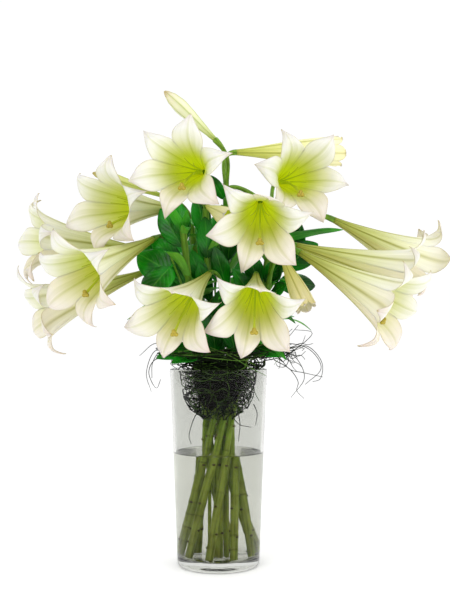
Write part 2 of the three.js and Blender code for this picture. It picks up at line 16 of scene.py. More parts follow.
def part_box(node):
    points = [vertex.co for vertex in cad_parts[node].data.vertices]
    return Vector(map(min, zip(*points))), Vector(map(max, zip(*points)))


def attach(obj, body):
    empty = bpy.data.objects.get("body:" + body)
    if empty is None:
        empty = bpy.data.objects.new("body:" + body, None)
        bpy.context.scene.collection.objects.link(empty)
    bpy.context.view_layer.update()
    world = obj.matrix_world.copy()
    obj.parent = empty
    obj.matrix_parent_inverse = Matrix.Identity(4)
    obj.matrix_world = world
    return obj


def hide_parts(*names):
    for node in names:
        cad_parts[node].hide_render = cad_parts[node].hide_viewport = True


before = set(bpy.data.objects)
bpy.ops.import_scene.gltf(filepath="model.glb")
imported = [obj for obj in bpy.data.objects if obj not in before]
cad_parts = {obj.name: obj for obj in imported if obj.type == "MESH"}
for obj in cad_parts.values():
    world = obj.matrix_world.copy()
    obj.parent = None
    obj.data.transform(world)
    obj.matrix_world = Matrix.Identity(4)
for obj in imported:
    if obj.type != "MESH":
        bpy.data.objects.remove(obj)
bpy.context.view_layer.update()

bl_info = {
    "name": "Lilies in a Vase",
    "version": (1, 0, 0),
    "blender": (4, 5, 0),
    "location": "3D View > Sidebar > Lilies",
    "description": "Builds cut trumpet lilies, their leaves, a nest of vine and the glass vase of water",
    "category": "Object",
}

MM = 0.001
UP = Vector((0, 0, 1))

# The vase and the water as packed
VASE_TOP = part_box("vase")[1]
WATER_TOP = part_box("water")[1]
FLOOR_OF_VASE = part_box("water")[0].z

# Radius of a trumpet against the distance from its neck, for an open bloom and for a closed bud
OPEN_PROFILE = [
    (0, 4.2), (20, 6.4), (45, 10.2), (72, 15.6), (99, 22), (122, 28.6), (141, 35.5),
    (153, 44), (158, 54), (156, 64),
]
BUD_PROFILE = [
    (0, 4.2), (20, 6.2), (45, 9.5), (72, 13), (99, 15), (123, 15),
    (143, 12.5), (155, 8.5), (163, 5), (168, 2),
]

# Blooms: the middle of the ring of petal tips, the way the mouth looks, the turn of the first petal clockwise
# from straight up, how far it is open and its share of the full length
BLOOMS = {
    "top_left": ((-49, -132, 487), (-0.18, -0.97, -0.14), 17, 1, 1),
    "left_upper": ((-152, -84, 448), (-0.55, -0.82, -0.1), 15, 1, 1),
    "left_far": ((-258, -12, 419), (-0.9, -0.42, 0.06), 30, 1, 1),
    "left_middle": ((-178, -136, 350), (-0.55, -0.73, -0.39), 0, 1, 1),
    "left_lower": ((-252, -5, 316), (-0.88, -0.3, -0.36), 0, 1, 1),
    "front_left": ((-60, -140, 307), (-0.3, -0.86, -0.41), 17, 1, 0.94),
    "front_right": ((41, -138, 309), (-0.05, -0.92, -0.39), 15, 1, 0.95),
    "centre": ((48, -140, 414), (-0.04, -0.94, -0.33), 20, 1, 1),
    "top_right": ((110, -60, 491), (0.17, -0.97, -0.1), 37, 1, 1),
    "top_back": ((178, 98, 552), (0.97, 0.25, 0.06), 12, 0.35, 0.95),
    "right_upper": ((296, 95, 386), (0.85, 0.38, -0.36), 30, 1, 1),
    "right_middle": ((262, -12, 362), (0.95, -0.08, -0.28), 0, 1, 1),
    "right_lower": ((228, -114, 314), (0.74, -0.46, -0.49), 30, 1, 1),
    "behind_right": ((113, -30, 322), (0.36, -0.3, -0.85), 0, 0.3, 0.5),
    "behind_left": ((20, -52, 434), (0.46, -0.8, -0.36), 0, 0.35, 0.45),
}

# A bloom that is open less than this holds no pistil in sight, and its petals are still young
HALF_OPEN = 0.5

# The petal of a bloom that doesn't flare with the rest, and how far it stays behind them
FOLDED = {"front_left": 0, "front_right": 0, "centre": 0}
FOLD = 0.5

# Buds: neck, the way the tip points, length and greatest radius
BUDS = {
    "top": ((-5, 10, 550), (-0.72, 0, 0.69), 92, 10.5),
    "left": ((-78, 34, 480), (-0.94, 0.02, 0.31), 96, 9.5),
}

# Lily stems: the point where the flower stalks part, the lean there, blooms and buds. All but the last stand
# in a ring, and that one in its middle.
STEMS = {
    "front_right": ((44, 2, 342), (0.1, 0.1, 1), ("front_right",), ()),
    "right": ((66, 24, 362), (0.2, 0, 1), ("right_middle", "right_lower", "behind_right"), ()),
    "right_back": ((70, 55, 428), (0.1, 0, 1), ("top_right", "right_upper"), ()),
    "tall": ((10, 50, 490), (0, 0, 1), ("centre", "top_back"), ("top",)),
    "left_back": ((-38, 60, 446), (-0.1, 0, 1), ("left_upper",), ("left",)),
    "left": ((-66, 28, 408), (-0.4, 0, 1), ("left_far", "left_middle", "left_lower"), ()),
    "young": ((-45, -20, 428), (-0.1, 0, 1), (), ()),
    "front_left": ((6, 1, 346), (0, 0.1, 1), ("front_left",), ()),
    "middle": ((-17, 24, 460), (0, 0, 1), ("top_left", "behind_left"), ()),
}
RING_OF_STEMS = 8
FIRST_SLOT = math.radians(-133)

# Sprigs of broad leaves: the turn where each stands, points up its stem, and each leaf's place on the stem,
# its tip and the way that its upper face looks
SPRIGS = {
    "left": (
        173, ((-10, 2, 215), (-16, -5, 243), (-26, -24, 300)), (-60, -30, 392),
        (
            (0.98, (-90, -54, 340), (-0.4, -0.9, 0.3)),
            (0.92, (-104, -10, 398), (-0.2, -0.9, 0.4)),
            (0.78, (-58, -80, 300), (0, -0.6, 0.8)),
        ),
    ),
    "right": (
        -4, ((12, 4, 215), (21, 13, 242), (34, 38, 290), (60, 62, 340)), (92, 62, 388),
        (
            (0.98, (134, 46, 416), (-0.3, -0.8, 0.5)),
            (0.93, (132, 66, 360), (0.5, -0.7, 0.6)),
            (0.76, (104, 84, 318), (0.4, 0.3, 0.9)),
            (0.97, (104, 74, 460), (0, -1, 0.1)),
        ),
    ),
    "back": (
        40, ((9, 11, 200), (7, 20, 225), (4, 27, 248), (0, 44, 285)), (-8, 92, 392),
        (
            (0.98, (-34, 112, 446), (0, -0.8, 0.3)),
            (0.94, (32, 112, 420), (0.1, -0.8, 0.4)),
            (0.82, (10, 136, 350), (0, 0.3, 1)),
            (0.7, (-52, 104, 330), (-0.3, 0.3, 1)),
            (0.96, (-60, 100, 424), (0, -0.9, 0.2)),
            (0.9, (0, 84, 466), (0, -1, 0.1)),
        ),
    ),
}

# Long strands of vine that stray out over the rim or hang in the vase: how fresh and green each is, from 0 to
# 1, and the points that it passes
WISPS = (
    (0.1, (52, -30, 262), (78, -52, 282), (112, -50, 276), (128, -44, 252), (108, -46, 232)),
    (0.1, (56, -20, 260), (84, -40, 268), (118, -34, 296), (96, -30, 300)),
    (0.2, (54, 10, 262), (92, 4, 270), (110, -12, 240), (92, -22, 214)),
    (0.1, (-54, -24, 262), (-78, -34, 274), (-90, -36, 246), (-84, -34, 222)),
    (0.2, (-56, 14, 262), (-82, 20, 282), (-104, 22, 266)),
    (0.1, (-20, 50, 262), (-30, 84, 276), (-6, 104, 258), (20, 96, 240)),
    (0.1, (-24, -30, 200), (-32, -24, 184), (-36, -30, 166), (-33, -36, 158)),
    (0.1, (24, -26, 198), (27, -24, 182), (25, -30, 160)),
    (0.2, (44, -24, 206), (48, -22, 194), (46, -24, 180)),
    (0.1, (10, -44, 206), (24, -46, 184), (40, -34, 178)),
    (0.1, (60, -30, 268), (90, -30, 276), (112, -34, 279), (130, -36, 258), (127, -38, 238), (118, -38, 235)),
    (0.2, (56, -26, 264), (74, -28, 266), (90, -34, 250), (107, -38, 246), (130, -40, 241)),
    (0.1, (70, -30, 262), (90, -34, 250), (100, -36, 234), (98, -38, 224), (107, -40, 214)),
    (0.3, (58, -22, 270), (74, -24, 284), (94, -22, 301)),
    (0.2, (62, -24, 272), (84, -24, 286), (102, -20, 306)),
    (0.1, (-58, -20, 262), (-80, -22, 262), (-88, -24, 246), (-78, -26, 226), (-73, -24, 237)),
    (0.2, (-56, -12, 264), (-74, -10, 272), (-84, -12, 258), (-85, -12, 238)),
    (0.95, (-50, -46, 272), (-20, -60, 276), (16, -62, 270), (46, -50, 256)),
    (0.9, (-10, -56, 278), (14, -61, 268), (38, -56, 254), (60, -34, 242)),
    (0.95, (-58, -34, 266), (-34, -56, 268), (0, -64, 264), (30, -60, 262), (58, -38, 268)),
    (0.8, (20, -44, 256), (34, -44, 240), (44, -36, 222), (50, -26, 210)),
    (0.9, (-30, -44, 252), (-6, -50, 244), (20, -48, 246), (44, -34, 236)),
    (0.8, (40, -44, 276), (62, -46, 282), (78, -40, 270), (70, -36, 256)),
)

# Leaves between the stems: for each stem the height that a leaf springs from, its tip, the way that its upper
# face looks, its width, and how far it bows, as a share of its length. Those less wide than NARROW are lily
# leaves, and the rest are broad ones.
NARROW = 15
UNDERGROWTH = {
    "young": (
        (398, (-76, 4, 458), (-0.3, -0.9, 0.2), 30, 0.1),
        (372, (-88, -2, 420), (-0.3, -0.8, 0.5), 26, 0.1),
        (402, (-52, -4, 466), (0, -0.9, 0.3), 24, 0.1),
        (350, (-60, -14, 390), (-0.1, -0.9, 0.4), 24, 0.1),
        (424, (-66, -26, 460), (-0.4, -0.6, 0.6), 9, 0.15),
        (424, (-56, -34, 453), (0, -0.8, 0.5), 8, 0.1),
        (424, (-40, -32, 452), (0.3, -0.7, 0.6), 9, 0.15),
    ),
    "middle": (
        (418, (-30, 34, 480), (0, -0.9, 0.2), 26, 0.08),
        (384, (-18, 6, 448), (0.1, -0.9, 0.3), 26, 0.1),
        (348, (-40, 4, 407), (-0.1, -0.9, 0.3), 24, 0.1),
        (330, (-26, -4, 386), (0, -0.9, 0.3), 22, 0.1),
    ),
    "tall": (
        (420, (4, 24, 466), (0, -0.9, 0.2), 26, 0.08),
        (384, (16, 20, 440), (0.2, -0.9, 0.3), 26, 0.1),
        (350, (-6, 14, 410), (0, -0.9, 0.4), 24, 0.1),
        (454, (26, 36, 482), (0.2, -0.9, 0.4), 20, 0.1),
        (470, (-12, 30, 506), (-0.2, -0.9, 0.4), 16, 0.15),
    ),
    "right_back": (
        (350, (36, 14, 404), (0, -0.9, 0.3), 26, 0.1),
        (328, (18, 4, 380), (0, -0.9, 0.3), 24, 0.1),
        (362, (84, 20, 390), (0.2, -0.9, 0.4), 28, 0.1),
        (424, (98, 40, 456), (0.2, -0.9, 0.4), 20, 0.1),
        (420, (172, 74, 438), (0.1, -0.8, 0.5), 14, 0.12),
    ),
    "right": (
        (340, (88, -8, 358), (0.3, -0.8, 0.5), 22, 0.15),
    ),
    "left": (
        (396, (-104, 8, 410), (-0.2, -0.9, 0.3), 17, 0.15),
        (344, (-78, 0, 364), (-0.3, -0.9, 0.3), 26, 0.1),
    ),
    "front_left": (
        (290, (-20, -38, 331), (-0.1, -1, 0.1), 30, 0.12),
        (264, (-10, -34, 334), (0, -1, 0.1), 26, 0.08),
        (262, (14, -26, 330), (0.1, -1, 0.1), 26, 0.06),
        (270, (0, -20, 350), (0, -1, 0.1), 28, 0.06),
        (282, (-78, -40, 264), (-0.1, -0.8, 0.5), 24, 0.12),
        (276, (-58, -52, 258), (0, -0.8, 0.5), 22, 0.15),
        (286, (-46, -44, 318), (-0.3, -0.9, 0.2), 28, 0.12),
        (288, (8, -42, 328), (0.1, -1, 0.1), 28, 0.12),
    ),
    "front_right": (
        (290, (26, -36, 336), (0, -1, 0.1), 28, 0.12),
        (264, (8, -44, 326), (0, -1, 0.1), 24, 0.08),
        (272, (22, -10, 352), (0, -1, 0.1), 26, 0.06),
        (282, (78, -36, 266), (0.1, -0.8, 0.5), 22, 0.12),
        (286, (62, -46, 314), (0.3, -0.9, 0.2), 26, 0.12),
        (284, (84, -58, 262), (0.2, -0.6, 0.8), 13, 0.3),
    ),
}


def chance(seed):
    """A fixed fraction from 0 to 1 for each number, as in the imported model, whose petals it also places."""
    far = math.sin(seed * 12.9898 + 4.1) * 43758.5453
    return far - math.floor(far)


def around(seed):
    """A fixed turn for each number, anywhere in a full circle."""
    return 6.28 * chance(seed)


def toward(turn):
    """The level direction at a turn about the vase's axis."""
    return Vector((math.cos(turn), math.sin(turn), 0))


def shares(count):
    """Even steps from 0 to 1."""
    return [k / (count - 1) for k in range(count)]


def path_length(points):
    """The length of a path through points."""
    return sum((b - a).length for a, b in zip(points, points[1:]))


def place(point):
    """A point of one of the tables, in metres."""
    return Vector(point) * MM


def smooth(low, high, x):
    """0 below low, 1 above high, and a soft rise between them."""
    t = min(1, max(0, (x - low) / (high - low)))
    return t * t * (3 - 2 * t)


def mix(a, b, t):
    """The number a share t of the way from a to b."""
    return a + (b - a) * t


# Colour and material helpers

def linear(code):
    """An sRGB hex colour as linear red, green, blue and alpha."""
    channels = [int(code[i:i + 2], 16) / 255 for i in (1, 3, 5)]
    return (*[c / 12.92 if c <= 0.04045 else ((c + 0.055) / 1.055) ** 2.4 for c in channels], 1)


def add(tree, kind, inputs=None, **settings):
    """Adds a node to the tree, sets its properties, and fills or links its inputs."""
    made = tree.nodes.new(kind)
    for name, value in settings.items():
        setattr(made, name, value)
    for name, value in (inputs or {}).items():
        if isinstance(value, bpy.types.NodeSocket):
            tree.links.new(value, made.inputs[name])
        else:
            made.inputs[name].default_value = value
    return made


def blank_material(name):
    """A new material and its empty node tree."""
    material = bpy.data.materials.new(name)
    material.use_nodes = True
    material.node_tree.nodes.clear()
    return material, material.node_tree


def finish_material(tree, **inputs):
    """The Principled shader that ends every material; its inputs are named with _ for a space."""
    named = {name.replace("_", " "): value for name, value in inputs.items()}
    shader = add(tree, "ShaderNodeBsdfPrincipled", named)
    add(tree, "ShaderNodeOutputMaterial", {"Surface": shader.outputs["BSDF"]})


def ramp(tree, factor, stops, interpolation="B_SPLINE"):
    """A colour ramp from (place, hex colour) stops."""
    made = add(tree, "ShaderNodeValToRGB", {"Fac": factor})
    made.color_ramp.interpolation = interpolation
    while len(made.color_ramp.elements) < len(stops):
        made.color_ramp.elements.new(1)
    for element, (position, code) in zip(made.color_ramp.elements, stops):
        element.position = position
        element.color = linear(code)
    return made.outputs["Color"]


def blend_colours(tree, kind, factor, a, b):
    """Two colours mixed, a under b."""
    made = add(tree, "ShaderNodeMix", data_type="RGBA", blend_type=kind)
    for socket, value in ((made.inputs[0], factor), (made.inputs[6], a), (made.inputs[7], b)):
        if isinstance(value, bpy.types.NodeSocket):
            tree.links.new(value, socket)
        else:
            socket.default_value = value
    return made.outputs[2]


def tinted(tree, share, colour, tint):
    """A colour multiplied by another, to a share."""
    return blend_colours(tree, "MULTIPLY", share, colour, tint)


def attribute(tree, name):
    """A number that is painted on the mesh's points."""
    return add(tree, "ShaderNodeAttribute", attribute_name=name).outputs["Fac"]


def grain_of(tree, per_metre, detail):
    """Noise that fills the piece, with about so many swells to a metre."""
    spot = add(tree, "ShaderNodeTexCoord").outputs["Object"]
    made = add(tree, "ShaderNodeTexNoise", {"Vector": spot, "Scale": per_metre, "Detail": detail})
    return made.outputs["Fac"]


def along_and_across(tree):
    """The UV map and its two numbers: u runs across or round a piece, and v runs along it."""
    uv = add(tree, "ShaderNodeUVMap", uv_map="UVMap").outputs["UV"]
    parts = add(tree, "ShaderNodeSeparateXYZ", {"Vector": uv})
    return uv, parts.outputs["X"], parts.outputs["Y"]


def maths(tree, operation, *values, clamp=False):
    """One step of arithmetic on sockets or numbers."""
    made = add(tree, "ShaderNodeMath", dict(enumerate(values)), operation=operation, use_clamp=clamp)
    return made.outputs[0]


def streaks(tree, uv, across, along, detail=3):
    """Noise drawn out along a piece, as veins are: so many swells across it, and so many along it."""
    stretched = add(tree, "ShaderNodeMapping", {"Vector": uv, "Scale": (across, along, 1)}).outputs["Vector"]
    return add(tree, "ShaderNodeTexNoise", {"Vector": stretched, "Scale": 1, "Detail": detail}).outputs["Fac"]


def bump(tree, height, distance, strength):
    """A normal that shows heights of up to distance, in metres."""
    made = add(tree, "ShaderNodeBump", {"Height": height, "Strength": strength, "Distance": distance})
    return made.outputs["Normal"]


# Shape helpers

def new_bmesh():
    """An empty bmesh with the UV map that the materials read."""
    made = bmesh.new()
    made.loops.layers.uv.new("UVMap")
    return made


def sheet_by_formula(bm, columns, rows, formula, material=0, paint=None):
    """A grid whose points formula(u, v) places, with u from -1 to 1 across and v from 0 to 1 along.

    paint is a layer of the points and a function of v that fills it."""
    made = bmesh.ops.create_grid(bm, x_segments=columns, y_segments=rows, size=1, calc_uvs=True)
    verts = made["verts"]
    for vert in verts:
        u, v = vert.co.x, (vert.co.y + 1) / 2
        vert.co = formula(u, v)
        if paint:
            vert[paint[0]] = paint[1](v)
    for face in {face for vert in verts for face in vert.link_faces}:
        face.material_index = material
    return verts


def close_up(bm, verts, reach=1e-6):
    """Merges what lies together, drops faces that have no area, and gives the points that are left."""
    bmesh.ops.remove_doubles(bm, verts=verts, dist=reach)
    return [v for v in verts if v.is_valid]


def cap(bm, verts, material=0):
    """Closes the open ends of a tube, and takes their edges in the order of its points."""
    rims = dict.fromkeys(edge for vert in verts for edge in vert.link_edges if edge.is_boundary)
    for face in bmesh.ops.holes_fill(bm, edges=list(rims))["faces"]:
        face.material_index = material


def frames_along(points):
    """For each point of a path: the point, and two directions square to the path that turn with it alone."""
    count = len(points)
    tangents = [(points[min(i + 1, count - 1)] - points[max(i - 1, 0)]).normalized() for i in range(count)]
    side = tangents[0].orthogonal().normalized()
    found = []
    for point, tangent in zip(points, tangents):
        side = (side - tangent * side.dot(tangent)).normalized()
        found.append((point, side, tangent.cross(side)))
    return found


def tube(bm, points, radius, sides, material=0, paint=None):
    """A round tube along a path, with closed ends; radius is a function of the share of its points."""
    rings = frames_along(points)
    last = len(points) - 1

    def wrap(u, v):
        centre, side, other = rings[round(v * last)]
        turn = math.pi * (u + 1)
        return centre + (side * math.cos(turn) + other * math.sin(turn)) * radius(v)

    verts = close_up(bm, sheet_by_formula(bm, sides, last, wrap, material, paint))
    cap(bm, verts, material)


def evenly(points, count):
    """The same path as count points at even steps."""
    far = [0]
    for a, b in zip(points, points[1:]):
        far.append(far[-1] + (b - a).length)
    found, i = [], 0
    for k in range(count):
        want = far[-1] * k / (count - 1)
        while i < len(points) - 2 and far[i + 1] < want:
            i += 1
        step = far[i + 1] - far[i]
        found.append(points[i].lerp(points[i + 1], (want - far[i]) / step if step else 0))
    return found


def smooth_route(points, steps=12):
    """A smooth curve through the points, without loops or cusps between them."""
    whole = [points[0] * 2 - points[1], *points, points[-1] * 2 - points[-2]]
    found = [points[0]]
    for a, b, c, d in zip(whole, whole[1:], whole[2:], whole[3:]):
        gaps = [max((q - p).length, 1e-9) ** 0.5 for p, q in ((a, b), (b, c), (c, d))]
        leave = ((b - a) / gaps[0] - (c - a) / (gaps[0] + gaps[1]) + (c - b) / gaps[1]) * gaps[1]
        arrive = ((c - b) / gaps[1] - (d - b) / (gaps[1] + gaps[2]) + (d - c) / gaps[2]) * gaps[1]
        found += interpolate_bezier(b, b + leave / 3, c - arrive / 3, c, steps + 1)[1:]
    return found


def arc(a, b, c, count):
    """A quadratic curve from a to c that heads for b."""
    return interpolate_bezier(a, a.lerp(b, 2 / 3), c.lerp(b, 2 / 3), c, count)


def finish_piece(name, bm, materials, nodes):
    """Makes the mesh an object that rides on the part's body and stands for the given nodes."""
    mesh = bpy.data.meshes.new(name)
    bm.to_mesh(mesh)
    bm.free()
    for material in materials:
        mesh.materials.append(material)
    mesh.polygons.foreach_set("use_smooth", [True] * len(mesh.polygons))
    piece = bpy.data.objects.new(name, mesh)
    bpy.context.scene.collection.objects.link(piece)
    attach(piece, "root")
    if nodes:
        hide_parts(*nodes)
    return piece


def thicken(piece, thickness, offset=0):
    """Gives a sheet its real thickness, with the next material on its far face.

    offset is -1 to thicken below the sheet and 0 to thicken it both ways."""
    wall = piece.modifiers.new("Thickness", "SOLIDIFY")
    wall.thickness = thickness
    wall.offset = offset
    wall.material_offset = 1


# Sizes and colours that a user may change

class VaseSettings(bpy.types.PropertyGroup):
    """Sizes and colour of the vase."""
    height: FloatProperty(name="Height", description="Height of the vase", default=VASE_TOP.z, unit="LENGTH")
    rim_radius: FloatProperty(
        name="Rim radius", description="Outer radius at the rim", default=VASE_TOP.x, unit="LENGTH")
    base_radius: FloatProperty(
        name="Base radius", description="Outer radius at the foot", default=0.0525, unit="LENGTH")
    wall: FloatProperty(name="Wall", description="Thickness of the glass", default=0.0035, unit="LENGTH")
    floor: FloatProperty(name="Floor", description="Thickness of the foot", default=0.012, unit="LENGTH")
    steps: IntProperty(name="Steps", description="Steps round the vase", default=128, min=16)
    tint: FloatVectorProperty(
        name="Glass tint", description="Colour of the glass", default=linear("#D8D9D5"),
        subtype="COLOR", size=4)


class BloomSettings(bpy.types.PropertyGroup):
    """Form of a bloom's petals, and how finely they are made."""
    length: FloatProperty(name="Length", description="From neck to petal tips", default=0.168, unit="LENGTH")
    thickness: FloatProperty(name="Petal", description="Thickness of a petal", default=0.0005, unit="LENGTH")
    overlap: FloatProperty(
        name="Overlap", description="How far a petal's edge passes its neighbour's",
        default=math.radians(1.6), subtype="ANGLE")
    layer: FloatProperty(
        name="Layer gap", description="How far the inner petals lie inside the outer ones",
        default=0.00056, unit="LENGTH")
    wave: FloatProperty(
        name="Wave", description="Height of the waves in a petal's edge", default=0.0016, unit="LENGTH")
    columns: IntProperty(name="Columns", description="Steps across a petal", default=14, min=4)
    rows: IntProperty(name="Rows", description="Steps along a petal", default=46, min=8)


class StemSettings(bpy.types.PropertyGroup):
    """Sizes of the lily stems and of the bundle that they stand in."""
    radius: FloatProperty(
        name="Stem radius", description="Radius of a lily stem", default=0.0046, unit="LENGTH")
    stalk_radius: FloatProperty(
        name="Stalk radius", description="Radius of a flower stalk", default=0.0029, unit="LENGTH")
    foot_radius: FloatProperty(
        name="Foot ring", description="How far from the axis the stems stand", default=0.037, unit="LENGTH")
    waist_radius: FloatProperty(
        name="Waist ring", description="How far from the axis they cross", default=0.0165, unit="LENGTH")
    waist_height: FloatProperty(
        name="Waist height", description="Height of the crossing", default=0.16, unit="LENGTH")
    scar_pitch: FloatProperty(
        name="Scar pitch", description="Distance between the scars of stripped leaves",
        default=0.017, unit="LENGTH")


class FoliageSettings(bpy.types.PropertyGroup):
    """Sizes of the leaves."""
    leaf_length: FloatProperty(
        name="Lily leaf", description="Full length of a lily leaf", default=0.096, unit="LENGTH")
    leaf_width: FloatProperty(name="Lily leaf width", description="Its width", default=0.017, unit="LENGTH")
    broad_width: FloatProperty(
        name="Broad leaf width", description="Width of a sprig's leaf", default=0.046, unit="LENGTH")
    thickness: FloatProperty(
        name="Thickness", description="Thickness of a leaf", default=0.0007, unit="LENGTH")


class NestSettings(bpy.types.PropertyGroup):
    """How many strands the nest has, and how thick they are."""
    strand_radius: FloatProperty(
        name="Strand", description="Radius of a strand of vine", default=0.0008, unit="LENGTH")
    strands: IntProperty(name="Strands", description="Strands wound round the nest", default=60, min=10)
    curls: IntProperty(name="Curls", description="Strands curled on themselves", default=260, min=10)
    strays: IntProperty(name="Strays", description="Strands that wander over the rim", default=90, min=0)


class StageSettings(bpy.types.PropertyGroup):
    """The floor and the light."""
    floor_size: FloatProperty(name="Floor", description="Width of the floor", default=8.0, unit="LENGTH")
    floor_colour: FloatVectorProperty(
        name="Floor colour", description="Colour of the floor", default=linear("#FFFFFF"),
        subtype="COLOR", size=4)
    glow: FloatProperty(
        name="Floor glow", description="Strength of the light from under the floor", default=0.2, min=0)
    sky: FloatProperty(name="Sky", description="Strength of the even light all round", default=1.02, min=0)


# Glass and water

# A profile's run of glass or water longer than this gets a point this far from each end
LONG_RUN = 0.004
HOLD = 0.0006
MERGE = 1e-6

# The hollow under the vase's foot: shares of the foot's radius, and how far the glass stands off the table
FOOT_HOLLOW = (
    (0, 0.003), (0.2, 0.0029), (0.4, 0.0024), (0.6, 0.0016), (0.75, 0.0008), (0.82, 0.0003), (0.86, 0),
)
FOOT_CORNER = 0.005
LIP_CORNER = 0.0016
INNER_CORNER = 0.006

# The water's edge: how far in from the glass, and how far above the level
CREEP = ((0, 0.0012), (0.0008, 0.0004), (0.003, 0))

# How far the water passes into the glass, so that no air shows between them
SOAK = 0.0002

# The tint of what glass and water reflect: darker than white, or four surfaces in a row would haze the view
GLASS_GLOSS = "#606060"


def glass_radius(vase, z):
    """The vase's outer radius at a height."""
    return mix(vase.base_radius, vase.rim_radius, z / vase.height)


def turned(bm, profile, steps):
    """Spins a profile of (radius, height) points about the vase's axis.

    A long straight run gets a point close to each end, so that a corner's shading stays at the corner."""
    held = [profile[0]]
    for a, b in zip(profile, profile[1:]):
        run = (Vector(b) - Vector(a)).length
        if run > LONG_RUN:
            held += [tuple(Vector(a).lerp(Vector(b), t)) for t in (HOLD / run, 1 - HOLD / run)]
        held.append(b)
    verts = [bm.verts.new((r, 0, z)) for r, z in held]
    edges = [bm.edges.new(pair) for pair in zip(verts, verts[1:])]
    bmesh.ops.spin(
        bm, geom=verts + edges, axis=UP, cent=(0, 0, 0), angle=2 * math.pi, steps=steps, use_merge=True)
    bmesh.ops.remove_doubles(bm, verts=bm.verts[:], dist=MERGE)
    bmesh.ops.recalc_face_normals(bm, faces=bm.faces[:])


def rounded(corner, before, after, radius, steps=6):
    """Points that round the corner between two straight runs of a profile."""
    corner, before, after = (Vector(p) for p in (corner, before, after))
    start = corner + (before - corner).normalized() * radius
    end = corner + (after - corner).normalized() * radius
    weights = [i / steps for i in range(steps + 1)]
    return [tuple(start.lerp(corner, t).lerp(corner.lerp(end, t), t)) for t in weights]


def glass_material(vase):
    """Soda-lime glass, pressed in a mould and fire-polished: clear and slightly grey, with a sharp gloss.

    The mould leaves a faint ripple, about 36 mm from crest to crest, that bends what is seen through it."""
    material, tree = blank_material("soda_lime_glass")
    ripple = grain_of(tree, 28, 1)
    finish_material(
        tree, Base_Color=vase.tint, Roughness=0.0, IOR=1.5, Transmission_Weight=1.0,
        Specular_Tint=linear(GLASS_GLOSS), Normal=bump(tree, ripple, 0.0004, 0.35))
    return material


def water_material():
    """Tap water: still and clear, with the faintest warm tint from the stems, so it has no pattern."""
    material, tree = blank_material("vase_water")
    finish_material(
        tree, Base_Color=linear("#FCFCF8"), Roughness=0.0, IOR=1.333, Transmission_Weight=1.0,
        Specular_Tint=linear(GLASS_GLOSS))
    return material


# Blooms

def profile_at(points, share):
    """The point at a share of the way through a smooth row of points."""
    last = len(points) - 1
    at = min(share, 1) * last
    index = min(int(at), last - 1)
    t = at - index
    a, b, c, d = (Vector(points[min(max(index + k, 0), last)]) for k in (-1, 0, 1, 2))
    leave, arrive = (c - a) / 2, (d - b) / 2
    return (
        (2 * b - 2 * c + leave + arrive) * t ** 3
        + (-3 * b + 3 * c - 2 * leave - arrive) * t ** 2 + leave * t + b
    )


class Trumpet:
    """A bloom's place and form: its frame, and where its wall runs at a share of petal length."""

    def __init__(self, name):
        tips, aim, roll, self.open, self.size = BLOOMS[name]
        self.seed = 20 * list(BLOOMS).index(name) + 3
        self.roll = math.radians(roll)
        self.look = Vector(aim).normalized()
        self.neck = place(tips) - self.look * bpy.context.scene.lily_bloom.length * self.size
        self.frame = aim_frame(self.neck, self.look)
        self.girth = mix(0.4, 1, self.size)
        self.folded = FOLDED.get(name)

    def wall(self, share, fold=0):
        """Distance from the neck, and radius."""
        at = profile_at(BUD_PROFILE, share).lerp(profile_at(OPEN_PROFILE, share), self.open - fold) * MM
        return at.x * self.size, at.y * self.girth


def aim_frame(neck, look):
    """Columns right, up and the way it looks, with the neck as the origin."""
    up = (UP - look * UP.dot(look)).normalized()
    right = up.cross(look)
    return Matrix.Translation(neck) @ Matrix((right, up, look)).transposed().to_4x4()


# Where the tube parts into petals, as a share of their length, and half of a petal's turn of the tube
SPLIT = 0.64
HALF_PETAL = math.radians(30)

# How broad a petal is where it parts from the tube, and how sharply its tip is drawn out
INNER_PETAL = (1.16, 1.36)
OUTER_PETAL = (0.97, 1.6)
BELLY = 1.75
BROADENS = (0.6, 0.8)

# How far back petals bend, in metres: the outer tips beyond the inner ones, one tip beyond another, the end
# of every tip, and the edges
CURL = 0.013
STRAY_CURL = 0.004
LAST_CURL = 0.005
EDGE_CURL = 0.0035

# How far a petal's tip may stand aside in degrees, and how far a petal or leaf may twist
TIP_SWAY = 8
TWIST = 0.5

# The midrib's groove: its depth in metres, and its width as a share of half the petal's
GROOVE = 0.0007
GROOVE_WIDTH = 0.1


